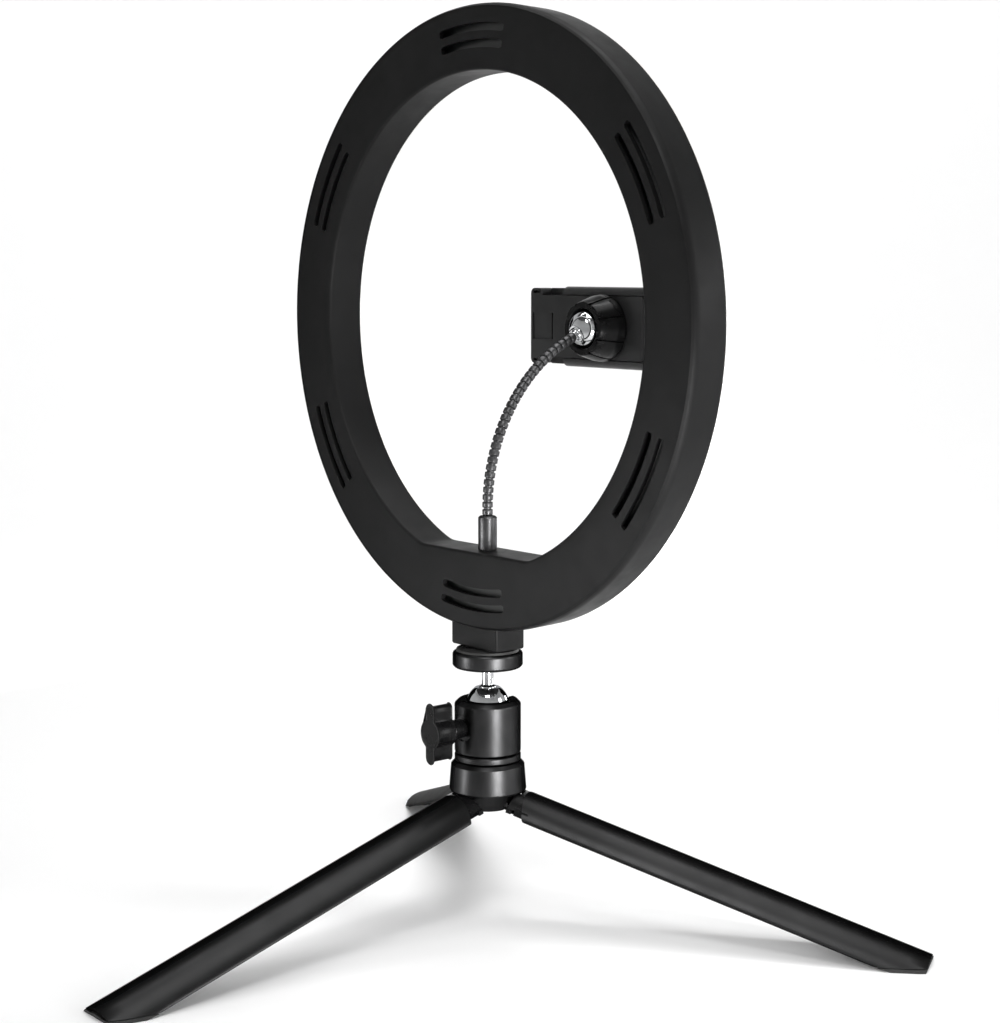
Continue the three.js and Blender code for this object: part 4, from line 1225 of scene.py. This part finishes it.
def segment(name, radius, steps=32):
    """The solid bar of a leg's root, round above and flat below."""
    half = math.acos((CAP_LOW + HINGE_R) / radius)
    outline = []
    for k in range(steps + 1):
        a = -half + 2 * half * k / steps
        outline.append((radius * math.sin(a), radius * math.cos(a) - HINGE_R))
    return prism(outline, *CAP_SPAN, "X", (0, 0, 0), name, KNOB_PLASTIC)


def leg_cap(i, degrees):
    """The moulded root of a leg, which fills the sheet's end and has a small tab on one side."""
    cap = segment(f"leg_cap_{i}", LEG_TUBE_R - 0.3)
    boolean(cap, [before_root(SHEET_START - 0.1, 1)])
    core = segment("core", LEG_TUBE_R - LEG_WALL - 0.1)
    tab = block((6.4, 12.5), (-12.4, -9.0), (LEG_LOW + 0.3, LEG_LOW + 3))
    boolean(cap, [core, tab], "UNION")
    tongue = block((-5, 4.6), (-4.2, 4.2), (-10, 10))
    boolean(cap, [tongue])
    transform(cap, leg_matrix(degrees))
    rim = bar(17.1, HUB_RIM - 0.15, HUB_RIM + 12, "Z", ON_AXIS, 96)
    boolean(cap, [rim])
    bevel(clean(cap), 0.2, 2, 40)
    return place(cap, f"leg_{i}", "knob_plastic")


def main_camera():
    """The three-quarter view from behind, a little above the middle of the ring."""
    data = bpy.data.cameras.new("photo_camera")
    data.lens = 69.84
    data.sensor_width = 36
    data.sensor_fit = "AUTO"
    data.clip_start, data.clip_end = 0.01, 50
    camera = bpy.data.objects.new("photo_camera", data)
    bpy.context.scene.collection.objects.link(camera)
    camera.location = (-0.6452, 0.5235 + (8.7 + AXIS_Y) * MM, 0.025 + RING_Z * MM)
    camera.rotation_euler = (math.radians(82.83), 0, math.radians(-129.88))
    bpy.context.scene.camera = camera


main_camera()
ring_housing()
cable_outlet()
diffuser_cover()
ferrule()
for number in range(NECK_PIECES):
    neck_piece(number)
holder_ball()
collar()
holder_shell()
jaw_shell()
jaw_pads()
spring()
head_ball()
head_stem()
platform()
platform_pad()
cup()
knob()
pan_ring()
hub()
for number, heading in enumerate(LEG_ANGLES, 1):
    leg(number, heading)
    leg_cap(number, heading)

# The CAD pieces whose shape is right get a finished material, rounded edges and smooth shading.
KEPT = {
    "led_board": BOARD,
    "board_screw_1": STEEL,
    "board_screw_2": STEEL,
    "board_screw_3": STEEL,
    "mount_insert": BRASS,
    "gooseneck_nut": STEEL,
    "ball_pad": NYLON,
    "ball_seat": NYLON,
    "brake_shoe": BRASS,
    "lock_screw": STEEL,
    "retaining_clip": STEEL,
    "hub_screw": STEEL,
}
for number in (1, 2, 3):
    KEPT[f"hinge_pin_{number}"] = HEAD_PAINT
    KEPT[f"leg_insert_{number}"] = KNOB_PLASTIC
    KEPT[f"foot_{number}"] = RUBBER
for node, look in KEPT.items():
    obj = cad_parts[node]
    obj.data.materials.clear()
    obj.data.materials.append(look)
    shade(obj, 30)
    edge = obj.modifiers.new("edge", "BEVEL")
    edge.width = (0.35 if node.startswith(("leg_insert", "foot")) else 0.12) * MM
    edge.segments = 2
    edge.limit_method = "ANGLE"
    edge.angle_limit = math.radians(40)


# ---------------------------------------------------------------- stage and light
def backdrop():
    """A pale floor that curves up into a round wall."""
    points = [(0.0, 0.0)]
    radius, curve, height, steps = 2.2, 0.9, 2.4, 24
    for k in range(1, 12):
        points.append(((radius - curve) * k / 12, 0.0))
    for k in range(steps + 1):
        a = -math.pi / 2 + math.pi / 2 * k / steps
        points.append((radius - curve + curve * math.cos(a), curve + curve * math.sin(a)))
    points.append((radius, height))
    segments = 96
    verts, rings, faces = [], [], []
    for r, h in points:
        if r == 0:
            rings.append([len(verts)])
            verts.append((0, 0, h / MM - 0.02))
            continue
        rings.append([len(verts) + k for k in range(segments)])
        for k in range(segments):
            a = 2 * math.pi * k / segments
            verts.append((r / MM * math.cos(a), r / MM * math.sin(a), h / MM - 0.02))
    for a, b in zip(rings, rings[1:]):
        faces += bridge(a, b)
    look = Look("floor", (0.90, 0.90, 0.90), 0.6, specular=0.2)
    floor = new_object("floor", verts, faces, look.material)
    for face in floor.data.polygons:
        face.use_smooth = True


def flag(azimuth, reach, width, height):
    """An upright black card that shows only in reflections, so that bright metal has dark edges."""
    half = width / 2 / MM
    top = height / MM
    corners = [(reach / MM, y, z) for y, z in ((-half, 0), (half, 0), (half, top), (-half, top))]
    look = Look("flag_black", (0.002, 0.002, 0.002), 0.9, specular=0.0)
    card = new_object("flag", corners, [(0, 1, 2, 3)], look.material)
    transform(card, Matrix.Translation((0, AXIS_Y, 0)) @ Matrix.Rotation(math.radians(azimuth), 4, "Z"))
    card.visible_camera = False
    card.visible_diffuse = False
    card.visible_shadow = False


def softbox(name, azimuth, reach, height, size, glow, aim=(0.0, AXIS_Y * MM, 0.12), spread=180):
    """A rectangular light at an azimuth in degrees, with its reach from the axis and its height in metres.

    glow is how bright its face is, seen square on; the floor's white is 1. spread is the whole angle of
    the beam.
    """
    data = bpy.data.lights.new(name, "AREA")
    data.shape = "RECTANGLE"
    data.size, data.size_y = size
    data.energy = glow * math.pi * size[0] * size[1]
    if spread < 180:
        half = math.radians(spread / 2)
        data.spread = 2 * half
        data.energy *= 1 - half / math.tan(half)
    obj = bpy.data.objects.new(name, data)
    bpy.context.scene.collection.objects.link(obj)
    angle = math.radians(azimuth)
    obj.visible_camera = False
    obj.location = (reach * math.cos(angle), reach * math.sin(angle) + AXIS_Y * MM, height)
    obj.rotation_euler = (Vector(aim) - obj.location).to_track_quat("-Z", "Y").to_euler()


def light():
    world = bpy.data.worlds.new("studio")
    world.use_nodes = True
    world.node_tree.nodes["Background"].inputs["Color"].default_value = (1, 1, 1, 1)
    world.node_tree.nodes["Background"].inputs["Strength"].default_value = 0.10
    bpy.context.scene.world = world
    bpy.context.scene.view_settings.view_transform = "Standard"
    softbox("overhead", 225, 0.35, 1.9, (1.1, 1.1), 3.1)
    softbox("front_strip", 170, 0.40, 0.085, (0.14, 0.16), 46, spread=80)
    softbox("left_strip", 66, 0.42, 0.085, (0.06, 0.16), 26, spread=80)
    softbox("right_strip", 268, 0.50, 0.11, (0.06, 0.20), 26, spread=80)
    softbox("side_fill", 218, 1.10, 0.34, (0.35, 0.6), 7, spread=80)
    softbox("high_key", 138, 0.62, 1.00, (0.40, 0.30), 13.0, spread=70)
    softbox("wall_wash", -40, 0.5, 1.6, (1.2, 0.5), 12, (1.7, -1.45, 0.35))


backdrop()
light()
flag(278, 0.55, 0.42, 0.5)
flag(3, 0.55, 0.42, 0.5)
